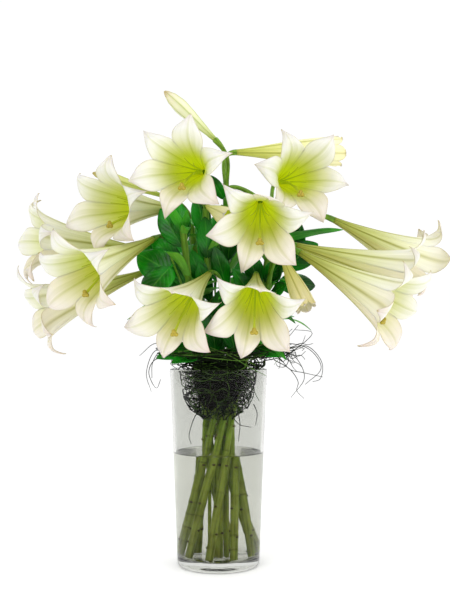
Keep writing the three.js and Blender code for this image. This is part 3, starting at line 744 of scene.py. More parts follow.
def petal_formula(trumpet, index, settings):
    """Where the point at u across and v along petal number index lies.

    Even petals are the broad inner three, whose edges lie on the outer petals beside them."""
    seed = trumpet.seed + index
    inner = index % 2 == 0
    notch = trumpet.wall(SPLIT)[1]
    breadth, point_of_tip = INNER_PETAL if inner else OUTER_PETAL
    stray = chance(seed + 7)
    waves = 2.2 + 1.6 * chance(seed + 31)
    phase = around(seed + 41)
    twist = (chance(seed + 51) - 0.5) * TWIST
    sway = (chance(seed) - 0.5) * TIP_SWAY

    def point(u, v):
        free = max(0, (v - SPLIT) / (1 - SPLIT))
        axial, radius = trumpet.wall(v, FOLD * free if trumpet.folded == index else 0)
        within = min(radius, notch)
        middle = math.radians(90) - trumpet.roll + 2 * HALF_PETAL * index + math.radians(sway * free)
        lag = ((index % 2) * CURL + stray * STRAY_CURL) * trumpet.size * trumpet.open ** 2 * free * free
        fullness = mix(1, breadth, smooth(*BROADENS, v))
        width = within * (1 - free) ** point_of_tip * (1 + BELLY * free) * fullness
        lap = settings.overlap * mix(0.3, 1, smooth(0.42, 0.62, v)) if inner else 0

        def out_at(turn):
            return radius - within * (1 - math.cos(turn)) * (1 - free)

        turn = (HALF_PETAL + lap) * abs(u)
        across, out = width * math.sin(turn), out_at(turn)
        beyond = across - out * math.tan(HALF_PETAL)
        if inner and beyond > 0:
            mirrored = across - 2 * beyond
            far = out_at(math.asin(min(1, mirrored / width)))
            out = far * math.cos(2 * HALF_PETAL) + mirrored * math.sin(2 * HALF_PETAL)
            across = far * math.sin(2 * HALF_PETAL) - mirrored * math.cos(2 * HALF_PETAL)
        across = math.copysign(across, u)
        if inner:
            facing = smooth(0.5, 0.8, v)
            out -= settings.layer * (1 - facing)
            axial += settings.layer * facing
        edge = abs(u) ** 2
        wave = settings.wave * math.sin(waves * math.pi * 2 * v + phase + (0.9 if u > 0 else 0)) * edge
        wave *= smooth(0.68, 0.86, v) * trumpet.open
        groove = math.exp(-((u / GROOVE_WIDTH) ** 2)) * GROOVE
        groove = groove * smooth(0.03, 0.25, v) * (1 - smooth(0.9, 1, v))
        out += groove + wave * (1 - free)
        axial += -lag + wave * free - twist * across * free + groove * free * -0.6 - LAST_CURL * free ** 3
        axial -= EDGE_CURL * edge * free * (1 - free) * 4 * trumpet.open
        return trumpet.frame @ Vector((
            out * math.cos(middle) - across * math.sin(middle),
            out * math.sin(middle) + across * math.cos(middle),
            axial,
        ))

    return point


# Colours along a petal from its neck to its tip: within, the painted glow that stands in for light shining
# through it there, and outside for a grown petal and a young one
WITHIN = (
    (0.0, "#C2CC0E"), (0.22, "#CAD81A"), (0.36, "#D2DE44"), (0.46, "#DEE58C"), (0.57, "#E6E9BC"),
    (0.7, "#EAEAE0"), (0.88, "#EAE8E6"), (1.0, "#DED2CB"),
)
PAINTED_THROAT_GLOW = (
    (0.0, "#9A9C00"), (0.2, "#B0BC10"), (0.33, "#A0AA18"), (0.44, "#5E6616"), (0.56, "#000000"),
)
GROWN = (
    (0.0, "#8A9A24"), (0.1, "#B2B84A"), (0.28, "#D2D684"), (0.46, "#EBEBC8"), (0.66, "#F2F1E6"),
    (1.0, "#E8DFD6"),
)
YOUNG = (
    (0.0, "#9AA832"), (0.1, "#BEC652"), (0.28, "#DEE08E"), (0.46, "#F0EEBE"), (0.66, "#F6F2D6"),
    (1.0, "#EADFB8"),
)

# Where the browned tip starts, and how fast it sets in
TIP_START = 0.972
TIP_RISE = 30.0


def petal_material(name, inside, young=False):
    """Fresh lily petal: grown tissue half a millimetre thick under a coat of wax, soft and half clear.

    The eye sees a yellow-green throat within, green ribs and neck outside, veins about 0.7 mm apart along it,
    a mottle about 10 mm wide, a darker rim and a browned tip. A painted glow, emission that stands in for
    light shining through, lights the throat within and a young petal's outside."""
    material, tree = blank_material(name)
    uv, u, v = along_and_across(tree)
    drift = streaks(tree, uv, 5, 1.2, 2)
    wander = maths(tree, "MULTIPLY_ADD", drift, 0.14, -0.07)
    level = maths(tree, "ADD", v, wander)
    middle = maths(tree, "ABSOLUTE", maths(tree, "SUBTRACT", u, 0.5))
    if inside:
        base = ramp(tree, level, WITHIN)
        # Painted glow: emission in the throat that stands in for light shining through the petal
        glow = ramp(tree, level, PAINTED_THROAT_GLOW)
        rib = ramp(tree, middle, ((0.0, "#CDD68A"), (0.03, "#E6EABC"), (0.08, "#FFFFFF")))
    else:
        base = ramp(tree, level, YOUNG if young else GROWN)
        # Painted glow on a young petal's outside, which lightens it where it hangs in shade
        glow = linear("#86803E" if young else "#000000")
        rib = ramp(tree, middle, ((0.0, "#9C9E2E"), (0.045, "#C8C870"), (0.12, "#FFFFFF")))
    veins = streaks(tree, uv, 70, 1.5, 4)
    rib_share = maths(tree, "MULTIPLY", maths(tree, "SUBTRACT", 1.1, v), 1.1, clamp=True)
    tone = tinted(tree, rib_share, base, rib)
    vein_tone = ramp(tree, veins, ((0.3, "#ECEEE2"), (0.55, "#FFFFFF")), "LINEAR")
    tone = tinted(tree, 0.5, tone, vein_tone)
    mottle = ramp(tree, drift, ((0.4, "#DCDFD4"), (0.6, "#FFFFFF")))
    tone = tinted(tree, 0.4, tone, mottle)
    tone = tinted(tree, attribute(tree, "warmth"), tone, linear("#F7E8E0"))
    # A darker rim along the edges of the free limbs
    rim = maths(tree, "POWER", maths(tree, "MULTIPLY", middle, 2.0), 18.0, clamp=True)
    free = maths(tree, "MULTIPLY", maths(tree, "SUBTRACT", v, 0.6), 5.0, clamp=True)
    tone = tinted(tree, maths(tree, "MULTIPLY", rim, free), tone, linear("#C9BE9A"))
    tip = maths(tree, "MULTIPLY", maths(tree, "SUBTRACT", v, TIP_START), TIP_RISE, clamp=True)
    tone = blend_colours(tree, "MIX", tip, tone, linear("#B9A45C"))
    ridge = maths(tree, "SUBTRACT", 1.0, maths(tree, "MULTIPLY", middle, 24.0), clamp=True)
    relief = maths(tree, "MULTIPLY_ADD", ridge, 0.8, veins)
    finish_material(
        tree, Base_Color=tone, Roughness=0.48, IOR=1.42, Subsurface_Weight=0.5,
        Subsurface_Radius=(1.0, 0.95, 0.6), Subsurface_Scale=0.0016, Emission_Color=glow,
        Emission_Strength=0.55, Normal=bump(tree, relief, 0.0006, 0.6))
    return material


def build_bloom(name, materials, settings):
    """Six petals, the broad inner three inside the edges of the narrow outer three.

    Petals that hang low get a warmer white, painted on their points."""
    trumpet = Trumpet(name)
    bm = new_bmesh()
    warmth = bm.verts.layers.float.new("warmth")
    for index in range(6):
        formula = petal_formula(trumpet, index, settings)
        verts = sheet_by_formula(bm, settings.columns, settings.rows, formula)
        low = smooth(-0.1, 0.9, -(formula(0, 0.95) - formula(0, 0.6)).normalized().z)
        for vert in verts:
            vert[warmth] = low * 0.6
        close_up(bm, verts, 2e-5)
    piece = finish_piece("petals_" + name, bm, materials, ["bloom_" + name])
    thicken(piece, settings.thickness, -1)


# Pistils and stamens

# The open blooms whose anthers are in sight and heavy with pollen
WITH_ANTHERS = ("right_middle",)

# A style's foot, in millimetres from the neck, where the trumpet has room for it; its length and its sag
PISTIL_START = 9 + (4.4 + 0.35) / 0.24
PISTIL_LENGTH = 138
PISTIL_SAG = 22

# The style's radius at its foot, along it, and what it gains under the stigma
STYLE_FOOT = 0.0021
STYLE = 0.0013
STYLE_SWELL = 0.0008

# The stigma's lobes: how far they stand from the style's middle, and their half sizes
LOBE_SHIFT = 0.0021
LOBE = (0.0034, 0.0028, 0.0027, 1)

# A filament's distance from the axis at its foot, bend and tip, its height at the bend and tip, and its radii
FILAMENT_OUT = (0.0032, 0.004, 0.0125)
FILAMENT_UP = (0.05, 0.091)
FILAMENT = (0.0009, 0.00045)

# Half sizes of a ripe anther and of one that has shrunk, and how far it leans out
RIPE_ANTHER = (0.0016, 0.0013, 0.0062, 1)
SHRUNKEN_ANTHER = (0.0006, 0.0006, 0.0012, 1)
ANTHER_LEAN = 0.5


def pistil_materials():
    """The soft tissues inside a bloom.

    The style is moist and green, with streaks about 0.6 mm apart, and some light comes through it; a painted
    glow makes it look lit from within. The stigma is the yellow of old wax, beaded at 1 mm. Ripe anthers wear
    loose orange pollen in clumps under 1 mm."""
    style, tree = blank_material("lily_style")
    uv, _, v = along_and_across(tree)
    base = ramp(tree, v, ((0.0, "#B4C830"), (0.6, "#B2BE34"), (1.0, "#A8AC38")))
    grain = ramp(tree, streaks(tree, uv, 14, 2), ((0.3, "#B9C060"), (0.7, "#FFFFFF")))
    # Painted glow: emission that makes the style look lit from within, as the throat around it does
    finish_material(
        tree, Base_Color=tinted(tree, 0.3, base, grain), Roughness=0.42, IOR=1.42, Subsurface_Weight=0.2,
        Subsurface_Radius=(1.0, 0.9, 0.3), Subsurface_Scale=0.002, Emission_Color=linear("#7C8C14"),
        Emission_Strength=0.4)
    stigma, tree = blank_material("lily_stigma")
    grain = grain_of(tree, 900, 3)
    tone = ramp(tree, grain, ((0.35, "#8A7E1C"), (0.6, "#BBA63A")))
    finish_material(tree, Base_Color=tone, Roughness=0.5, IOR=1.42, Normal=bump(tree, grain, 0.0003, 0.8))
    anther, tree = blank_material("anther_pollen")
    grain = grain_of(tree, 1400, 2)
    tone = ramp(tree, grain, ((0.35, "#A84A08"), (0.6, "#E08A18")))
    finish_material(tree, Base_Color=tone, Roughness=0.85, Normal=bump(tree, grain, 0.0003, 0.8))
    return style, stigma, anther


def blob(bm, place_in, sizes, material, rows=6):
    """A small round form of given half sizes, put in its place by a matrix."""
    made = bmesh.ops.create_uvsphere(
        bm, u_segments=10, v_segments=rows, radius=1, matrix=place_in @ Matrix.Diagonal(sizes), calc_uvs=True)
    for face in {face for vert in made["verts"] for face in vert.link_faces}:
        face.material_index = material


def build_pistil(name, materials):
    """The style sags to the lower side of the mouth, to a stigma of three lobes, among six stamens."""
    trumpet = Trumpet(name)
    bm = new_bmesh()
    foot = place((0, 0, PISTIL_START * trumpet.size))
    end = place((0, -PISTIL_SAG, PISTIL_LENGTH))
    line = arc(foot, place((0, 0, PISTIL_LENGTH * 0.55)), end, 26)
    tube(bm, line, lambda t: mix(STYLE_FOOT, STYLE, smooth(0, 0.3, t)) + STYLE_SWELL * smooth(0.86, 1, t), 12)
    for lobe in range(3):
        turn = math.radians(120 * lobe + 90)
        spot = Matrix.Translation(end + toward(turn) * LOBE_SHIFT)
        blob(bm, spot @ Matrix.Rotation(turn, 4, "Z"), LOBE, 1, 8)
    for i in range(6):
        turn = math.radians(60 * i + 30)
        start, bend, tip = (foot + toward(turn) * out for out in FILAMENT_OUT)
        bend, tip = bend + UP * FILAMENT_UP[0], tip + UP * FILAMENT_UP[1]
        tube(bm, arc(start, bend, tip, 14), lambda t: mix(*FILAMENT, t), 7)
        spot = Matrix.Translation(tip) @ Matrix.Rotation(turn, 4, "Z") @ Matrix.Rotation(ANTHER_LEAN, 4, "Y")
        ripe = name in WITH_ANTHERS
        blob(bm, spot, RIPE_ANTHER if ripe else SHRUNKEN_ANTHER, 2 if ripe else 0)
    bmesh.ops.transform(bm, matrix=trumpet.frame, verts=bm.verts[:])
    finish_piece("pistil_of_" + name, bm, materials, ["pistil_" + name])


# Buds

# A bud's radius against its length, both as shares of the greatest
SPINDLE = (
    (0, 0.32), (0.12, 0.42), (0.3, 0.63), (0.5, 0.86), (0.68, 1), (0.84, 0.82), (0.95, 0.44), (1, 0.13),
)

# How deep the grooves between a bud's folded petals are, as a share of its radius, and how far it bows
BUD_GROOVE = 0.12
BUD_BOW = 0.0015

# Colours along a bud from its neck to its tip
PALE_BUD = ((0.0, "#A4B850"), (0.15, "#D6DE9C"), (0.5, "#EEF0D0"), (0.88, "#EFECD0"), (1.0, "#B09048"))
GREEN_BUD = ((0.0, "#9AAE3E"), (0.25, "#C2CC66"), (0.6, "#DADF90"), (0.88, "#D8D488"), (1.0, "#9C8438"))


def spindle_at(share):
    """The bud's radius at a share of its length."""
    for (a, low), (b, high) in zip(SPINDLE, SPINDLE[1:]):
        if share <= b:
            t = (share - a) / (b - a)
            return mix(low, high, smooth(0, 1, t) * 0.4 + t * 0.6)
    return SPINDLE[-1][1]


def bud_material(name, stops):
    """The outer petals of a closed bud, firm and waxy: six green ribs, veins 1 mm apart, a browned tip."""
    material, tree = blank_material(name)
    uv, u, v = along_and_across(tree)
    base = ramp(tree, v, stops)
    rib = maths(tree, "ABSOLUTE", maths(tree, "SINE", maths(tree, "MULTIPLY", u, math.pi * 6)))
    tone = ramp(tree, rib, ((0.0, "#A9BC58"), (0.35, "#F2F3D8"), (1.0, "#FFFFFF")))
    veins = streaks(tree, uv, 60, 1.5)
    finish_material(
        tree, Base_Color=tinted(tree, 0.85, base, tone), Roughness=0.45, IOR=1.42,
        Subsurface_Weight=0.3, Subsurface_Radius=(1.0, 0.95, 0.45), Subsurface_Scale=0.004,
        Normal=bump(tree, veins, 0.0004, 0.5))
    return material


def build_bud(name, material):
    """A spindle of six folded petals, whose edges meet in grooves."""
    neck, aim, length, radius = BUDS[name]
    place_in = aim_frame(place(neck), Vector(aim).normalized())
    bm = new_bmesh()

    def point(u, v):
        turn = math.pi * (u + 1)
        folds = 1 - BUD_GROOVE * abs(math.sin(3 * turn)) ** 0.6
        r = spindle_at(v) * radius * MM * folds
        bow = math.sin(math.pi * v) * BUD_BOW
        return place_in @ Vector((r * math.cos(turn) + bow, r * math.sin(turn), v * length * MM))

    cap(bm, close_up(bm, sheet_by_formula(bm, 48, 40, point)))
    finish_piece("closed_bud_" + name, bm, [material], ["bud_" + name])


# Stems

# Points along a stem, and the height in metres above which the leaves weren't stripped
STEM_POINTS = 220
STRIPPED = 0.3

# How far a joint stands out, the half sizes of a leaf's scar, and the turn from each to the next
JOINT = 0.0005
SCAR = (0.0015, 0.002, 0.0014, 1)
NEXT_SCAR = math.radians(137.5)

# What a flower stalk gains under its bloom and where it leaves the stem
STALK_TOP = 0.0013
STALK_FOOT = 0.001

# Colours of a stem from the table up, the low ones partly painted light against the shade inside the glass,
# and the height in metres where the last of them is reached
STEM_COLOURS_WITH_PAINTED_LIGHT = (
    (0.0, "#E2F074"), (0.2, "#DCF068"), (0.3, "#A4CC40"), (0.45, "#5A901C"), (0.7, "#6EA22A"),
    (1.0, "#96BE40"),
)
STEM_COLOURS_END = 0.6


def stem_line(name, settings):
    """A lily stem's path: straight from its foot to the waist of the bundle, then out to its top."""
    top, lean, _, _ = STEMS[name]
    slot = list(STEMS).index(name)
    waist = Vector((0, 0, settings.waist_height))
    foot = Vector()
    if slot < RING_OF_STEMS:
        out = FIRST_SLOT + math.radians(45) * slot
        waist += toward(out) * settings.waist_radius
        back = math.sqrt(settings.foot_radius ** 2 - settings.waist_radius ** 2)
        foot = waist - Vector((-math.sin(out), math.cos(out), 0)) * back
    slant = (foot.xy - waist.xy).length / settings.waist_height
    foot.z = FLOOR_OF_VASE + settings.radius * slant
    top = place(top)
    handle = (top - waist).length * 0.36
    rise = (waist - foot).normalized()
    out_of_waist = interpolate_bezier(
        waist, waist + rise * handle, top - Vector(lean).normalized() * handle, top, 60)
    return [foot.lerp(waist, i / 30) for i in range(30)] + out_of_waist


def stalk_line(name, neck, look):
    """A flower stalk's path, from the stem's top along its lean to the neck along the bloom's axis."""
    top, lean, _, _ = STEMS[name]
    lean = Vector(lean).normalized()
    start = place(top) - lean * 7 * MM
    handle = max(26 * MM, (start - neck).length * 0.45)
    return interpolate_bezier(start, start + lean * handle, neck - look * handle, neck, 28)


def stem_materials():
    """Fresh lily stem and the scars where its leaves were stripped.

    The stem is smooth, waxy and ribbed by fibres about 3 mm apart, pale where it stands in water, where its
    colour is also painted lighter against the shade that the glass casts on it, with stains about 14 mm wide
    and darker joints. A scar is dry corky skin with a grain of about 1 mm."""
    stem, tree = blank_material("lily_stem")
    uv, _, _ = along_and_across(tree)
    spot = add(tree, "ShaderNodeTexCoord").outputs["Object"]
    height = add(tree, "ShaderNodeSeparateXYZ", {"Vector": spot}).outputs["Z"]
    # The light colours low on the stem are partly painted light, making up for the shade inside the glass and
    # water
    base = ramp(tree, maths(tree, "MULTIPLY", height, 1 / STEM_COLOURS_END), STEM_COLOURS_WITH_PAINTED_LIGHT)
    fibres = streaks(tree, uv, 9, 7)
    tone = tinted(tree, 0.75, base, ramp(tree, fibres, ((0.36, "#66822A"), (0.58, "#FFFFFF"))))
    stains = ramp(tree, grain_of(tree, 70, 4), ((0.38, "#A8905E"), (0.56, "#FFFFFF")))
    tone = tinted(tree, 0.35, tone, stains)
    joint = maths(tree, "MULTIPLY", attribute(tree, "joint"), 0.6)
    tone = tinted(tree, joint, tone, linear("#7A6434"))
    finish_material(
        tree, Base_Color=tone, Roughness=0.4, IOR=1.42, Specular_IOR_Level=0.25, Subsurface_Weight=0.1,
        Subsurface_Radius=(0.6, 1.0, 0.2), Subsurface_Scale=0.002, Normal=bump(tree, fibres, 0.0003, 0.5))
    scar, tree = blank_material("leaf_scar")
    grain = grain_of(tree, 900, 3)
    finish_material(
        tree, Base_Color=ramp(tree, grain, ((0.3, "#4C4A18"), (0.7, "#86783A"))), Roughness=0.7,
        Normal=bump(tree, grain, 0.0004, 0.8))
    return stem, scar


def build_stem(name, materials, settings):
    """A lily stem with the scars of its stripped leaves, its flower stalks and their swollen tops."""
    _, _, blooms, buds = STEMS[name]
    seed = 13 * list(STEMS).index(name)
    bm = new_bmesh()
    joints = bm.verts.layers.float.new("joint")
    line = evenly(stem_line(name, settings), STEM_POINTS)
    length = path_length(line)

    def at_joint(t, breadth):
        """1 at a joint and 0 away from it, and less for some joints than for others."""
        step = t * length / settings.scar_pitch + chance(seed)
        strength = chance(seed + math.floor(step))
        return strength * math.exp(-((step % 1 - mix(0.35, 0.65, strength)) / breadth) ** 2)

    def girth(t):
        return settings.radius * mix(1.0, 0.94, t) + JOINT * at_joint(t, 0.12)

    def stain(t):
        return at_joint(t, 0.05) * (1 - smooth(0.5, 0.7, t))

    def stalk_girth(t):
        return settings.stalk_radius + STALK_TOP * smooth(0.8, 1, t) + STALK_FOOT * (1 - smooth(0, 0.25, t))

    tube(bm, line, girth, 14, paint=(joints, stain))
    rings = frames_along(line)
    last = STEM_POINTS - 1
    for k in range(1, int(length / settings.scar_pitch)):
        share = (k + 0.5 - chance(seed)) * settings.scar_pitch / length
        centre, side, other = rings[min(last, max(0, round(share * last)))]
        if centre.z > STRIPPED:
            break
        turn = k * NEXT_SCAR
        out = side * math.cos(turn) + other * math.sin(turn)
        rise = side.cross(other)
        axes = Matrix((out, rise.cross(out), rise)).transposed().to_4x4()
        blob(bm, Matrix.Translation(centre + out * settings.radius * 0.98) @ axes, SCAR, 1)
    ends = [(Trumpet(bloom).neck, Trumpet(bloom).look) for bloom in blooms]
    ends += [(place(BUDS[bud][0]), Vector(BUDS[bud][1]).normalized()) for bud in buds]
    for neck, look in ends:
        tube(bm, stalk_line(name, neck, look), stalk_girth, 12)
    finish_piece("lily_" + name, bm, materials, ["stem_" + name])


# Leaves

# Lily leaves: the distance between them along a stem and the turn from each to the next, how far the highest
# is below the stem's top, and the height of the lowest, in millimetres and degrees
LEAF_PITCH = 27
LEAF_TURN = 137.5
HIGHEST_LEAF = 8
LOWEST_LEAF = 288

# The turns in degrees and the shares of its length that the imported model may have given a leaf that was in
# the way of another piece
ASIDE = (0, 24, -24, 48, -48, 75, -75, 105, -105, 140)
SHORTER = (1, 0.75, 0.55)

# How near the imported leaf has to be, in metres, and the points that are looked at along the way
NEAR_ENOUGH = 0.004
LOOKED_AT = (10, 16, 21, 23)
SEARCH_POINTS = 400

# A sprig's stem: its distance from the axis and its height at the bundle in millimetres, points along it, and
# its radii in metres
SPRIG_OUT = 8.4
SPRIG_WAIST = 180
SPRIG_POINTS = 80
SPRIG_RADII = (0.0018, 0.0013)


def lance(t):
    """The outline of a lily leaf: broadest in its lower half, with a long point."""
    return math.sin(math.pi * min(1, 0.14 + 0.86 * t)) ** 0.8


def broad(t):
    """The outline of a sprig's leaf: a short stalk, a round shoulder and a drawn-out point."""
    if t < 0.12:
        return 0.07
    return max(0.07, math.sin(math.pi * ((t - 0.1) / 0.9) ** 0.9) ** 0.75) if t < 1 else 0


def leaf_sheet(bm, line, facing, width, outline, fold, seed, wave, columns, rows):
    """One leaf along a path, folded up from its midrib, with a wave in its edges and a little twist."""
    count = len(line)
    phase = around(seed + 3)
    twist = (chance(seed + 9) - 0.5) * TWIST

    def point(u, v):
        index = min(count - 2, int(v * (count - 1)))
        tangent = (line[index + 1] - line[index]).normalized()
        side = tangent.cross(facing).normalized()
        face = side.cross(tangent)
        turned_side = side * math.cos(twist * v) + face * math.sin(twist * v)
        half = width / 2 * outline(v)
        centre = line[index].lerp(line[index + 1], v * (count - 1) - index)
        lift = fold * abs(u) * half - 0.12 * half * u * u
        lift += wave * math.sin(7 * v + phase + 1.3 * u) * u * u * math.sin(math.pi * v)
        return centre + turned_side * (u * half) + face * lift

    close_up(bm, sheet_by_formula(bm, columns, rows, point), 1e-5)


def finish_leaves(name, bm, materials, node, settings):
    """Leaves with their real thickness, the upper face in the first material and the lower in the second."""
    thicken(finish_piece(name, bm, materials, [node]), settings.thickness)


def lily_leaves(name, line, settings):
    """The curve, seed and width of each of a stem's leaves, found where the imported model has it."""
    order = list(STEMS).index(name)
    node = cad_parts["stem_" + name].data
    packed = BVHTree.FromPolygons([v.co for v in node.vertices], [p.vertices for p in node.polygons])
    line = evenly(line, SEARCH_POINTS)
    length = path_length(line) / MM
    found = []
    index = 0
    while HIGHEST_LEAF + index * LEAF_PITCH < length:
        share = 1 - (HIGHEST_LEAF + index * LEAF_PITCH) / length
        root = line[round(share * (SEARCH_POINTS - 1))]
        if root.z < LOWEST_LEAF * MM:
            break
        seed = order * 31 + index
        grown = min(1, 0.42 + 0.2 * index)
        reach = settings.leaf_length * grown * (0.85 + 0.3 * chance(seed))
        droop = 0.5 * chance(seed + 5)
        best = None
        for shorter in SHORTER:
            for aside in ASIDE:
                turn = math.radians(order * 47 + index * LEAF_TURN + aside)
                out = toward(turn)
                far = reach * shorter
                start = root + out * 1.5 * MM
                bend = start + out * far * 0.4 + UP * far * 0.45
                end = start + out * far * 0.85 + UP * far * (0.5 - droop)
                curve = arc(start, bend, end, 24)
                off = max(packed.find_nearest(curve[i])[3] for i in LOOKED_AT)
                if best is None or off < best[0]:
                    best = (off, curve, seed, settings.leaf_width * mix(0.55, 1, grown))
        if best[0] < NEAR_ENOUGH:
            found.append(best[1:])
        index += 1
    return found


def leaf_material(name, stops, veins_across, gloss, parallel=True):
    """One face of a fresh leaf: waxy and glossier on top, with a pale midrib and paler veins.

    A lily leaf's veins run side by side, about 0.4 mm apart. A broad leaf's slant out from its midrib, about
    12 mm apart. The green drifts from darker to lighter over about 40 mm."""
    material, tree = blank_material(name)
    uv, u, v = along_and_across(tree)
    base = ramp(tree, grain_of(tree, 26, 3), stops)
    middle = maths(tree, "ABSOLUTE", maths(tree, "SUBTRACT", u, 0.5))
    if parallel:
        lines = streaks(tree, uv, veins_across, 0.7)
    else:
        slanted = maths(tree, "MULTIPLY_ADD", middle, -0.9, v)
        lines = maths(tree, "SINE", maths(tree, "MULTIPLY", slanted, veins_across))
        lines = maths(tree, "POWER", maths(tree, "MULTIPLY_ADD", lines, 0.5, 0.5), 6.0)
    tone = blend_colours(tree, "ADD", 0.06, base, ramp(tree, lines, ((0.45, "#000000"), (1.0, "#7CC040"))))
    rib = ramp(tree, middle, ((0.0, "#7CB04A"), (0.02, "#4C8A2A"), (0.045, "#000000")), "LINEAR")
    tone = blend_colours(tree, "ADD", 0.22, tone, rib)
    finish_material(
        tree, Base_Color=tone, Roughness=gloss, IOR=1.45, Specular_IOR_Level=0.3, Subsurface_Weight=0.1,
        Subsurface_Radius=(0.2, 1.0, 0.05), Subsurface_Scale=0.002, Normal=bump(tree, lines, 0.0005, 0.45))
    return material


def lily_leaf_materials():
    """The upper and lower face of a lily leaf."""
    return [
        leaf_material("lily_leaf_top", ((0.42, "#0E6606"), (0.6, "#3EAA18")), 40, 0.34),
        leaf_material("lily_leaf_underside", ((0.35, "#4C9626"), (0.65, "#74B43C")), 40, 0.5),
    ]


def broad_leaf_materials():
    """The upper and lower face of a sprig's leaf."""
    return [
        leaf_material("broad_leaf_top", ((0.42, "#023C04"), (0.6, "#149414")), 46, 0.27, False),
        leaf_material("broad_leaf_underside", ((0.42, "#176A1A"), (0.6, "#46A63A")), 46, 0.45, False),
    ]


def build_lily_leaves(name, materials, stems, settings):
    """The leaves that grow round the upper part of one stem, where it has any."""
    leaves = lily_leaves(name, stem_line(name, stems), settings)
    if not leaves:
        return
    bm = new_bmesh()
    for curve, seed, width in leaves:
        leaf_sheet(bm, curve, UP, width, lance, 0.3, seed, 0.0016, 6, 26)
    finish_leaves("leaves_of_" + name, bm, materials, "stem_" + name, settings)


def build_undergrowth(name, narrow, wide, stems, settings):
    """The leaves of one stem that fill the room between the stems, narrow ones and broad ones."""
    line = stem_line(name, stems)
    for kind, outline, rows, materials in (
        ("narrow", lance, [row for row in UNDERGROWTH[name] if row[3] < NARROW], narrow),
        ("broad", broad, [row for row in UNDERGROWTH[name] if row[3] >= NARROW], wide),
    ):
        if not rows:
            continue
        bm = new_bmesh()
        for number, (height, tip, facing, width, bow) in enumerate(rows):
            root = min(line, key=lambda p: abs(p.z - height * MM))
            end = place(tip)
            face = Vector(facing).normalized()
            curve = arc(root, root.lerp(end, 0.5) + face * (end - root).length * bow, end, 26)
            leaf_sheet(bm, curve, face, width * MM, outline, 0.2, 11 * number + len(name), 0.002, 10, 26)
        finish_leaves(kind + "_leaves_by_" + name, bm, materials, "stem_" + name, settings)


def build_sprig(name, materials, settings):
    """A sprig's bare stem, and its broad leaves in a piece of their own."""
    stand, through, top, leaves = SPRIGS[name]
    foot = toward(math.radians(stand)) * SPRIG_OUT * MM
    low = foot + UP * FLOOR_OF_VASE
    waist = foot + UP * SPRIG_WAIST * MM
    route = smooth_route([waist, *[place(p) for p in through], place(top)])
    line = evenly([low.lerp(waist, i / 20) for i in range(20)] + route, SPRIG_POINTS)
    stem = new_bmesh()
    tube(stem, line, lambda t: mix(*SPRIG_RADII, t), 8)
    finish_piece("sprig_stem_" + name, stem, [materials[2]], ["sprig_" + name])
    bm = new_bmesh()
    for number, (at, tip, facing) in enumerate(leaves):
        root = line[round(at * (SPRIG_POINTS - 1))]
        end = place(tip)
        face = Vector(facing).normalized()
        width = min(settings.broad_width, (end - root).length * 0.75)
        curve = arc(root, root.lerp(end, 0.5) + face * 5 * MM, end, 30)
        leaf_sheet(bm, curve, face, width, broad, 0.16, 5 * number + len(name), 0.0022, 12, 34)
    finish_leaves("broad_leaves_" + name, bm, materials[:2], "sprig_" + name, settings)


# The nest of vine

# The nest's outline as radius and height, in millimetres, from under it round to the top
NEST_PROFILE = (
    (0, 190), (22, 188), (38, 197), (46, 214), (51, 246), (64, 256), (64, 262), (46, 272), (0, 275),
)

# How far a strand's middle keeps inside that outline, in metres
INSET = 0.001

# Where the strands' wandering starts from. Left unset, Blender takes the clock, and each run differs.
NEST_SEED = 7

# Curled strands: heights of their middles, the lowest and highest point, and how far they wander
CURL_HEIGHTS = (0.192, 0.272)
CURL_LIMITS = (0.186, 0.274)
CURL_WANDER = 0.008

# Wound strands: the lowest start and what it may gain, the lowest and highest point, and how far they wander
WIND_START = 0.192
WIND_GAIN = 0.078
WIND_LIMITS = (0.189, 0.274)
WIND_WANDER = 0.009

# Straying strands: where they leave the nest, how far out they get, their height and how far they wander
STRAY_ROOT = 0.042
STRAY_REACH = (0.06, 0.088)
STRAY_HEIGHT = 0.266
STRAY_WANDER = 0.014

# The tuft of short kinked tendrils at the rim: how many, its middle, the ring they start in, and their steps
TUFT = 34
TUFT_PLACE = Vector((0.074, -0.026, 0.272))
TUFT_RING = 0.012
TUFT_STEPS = 14
TUFT_STEP = 0.0028

# The dark heart: its lowest and highest point, and its share of the nest's reach
HEART_HEIGHTS = (0.194, 0.268)
HEART_SHARE = 0.62


def nest_reach(height):
    """The nest's outer radius at a height."""
    outline = NEST_PROFILE[1:-1]
    for (r0, z0), (r1, z1) in zip(outline, outline[1:]):
        if z0 <= height / MM <= z1 and z1 > z0:
            return mix(r0, r1, (height / MM - z0) / (z1 - z0)) * MM
    return outline[0][0] * MM


def between(limits, x):
    """The nearest number between two limits."""
    return min(limits[1], max(limits[0], x))


def vine_material():
    """Dried tendrils of a climbing vine: nearly black, and green where some are still fresh.

    Their thin bark is dull and wrinkled, with patches about 6 mm long."""
    material, tree = blank_material("dried_vine")
    base = ramp(tree, attribute(tree, "kind"), (
        (0.0, "#081004"), (0.4, "#182A08"), (0.7, "#2E5214"), (1.0, "#6C9A3E")))
    grain = grain_of(tree, 160, 4)
    tone = tinted(tree, 0.7, base, ramp(tree, grain, ((0.3, "#7A7460"), (0.7, "#FFFFFF"))))
    finish_material(
        tree, Base_Color=tone, Roughness=0.7, Specular_IOR_Level=0.12, Normal=bump(tree, grain, 0.0004, 0.7))
    return material


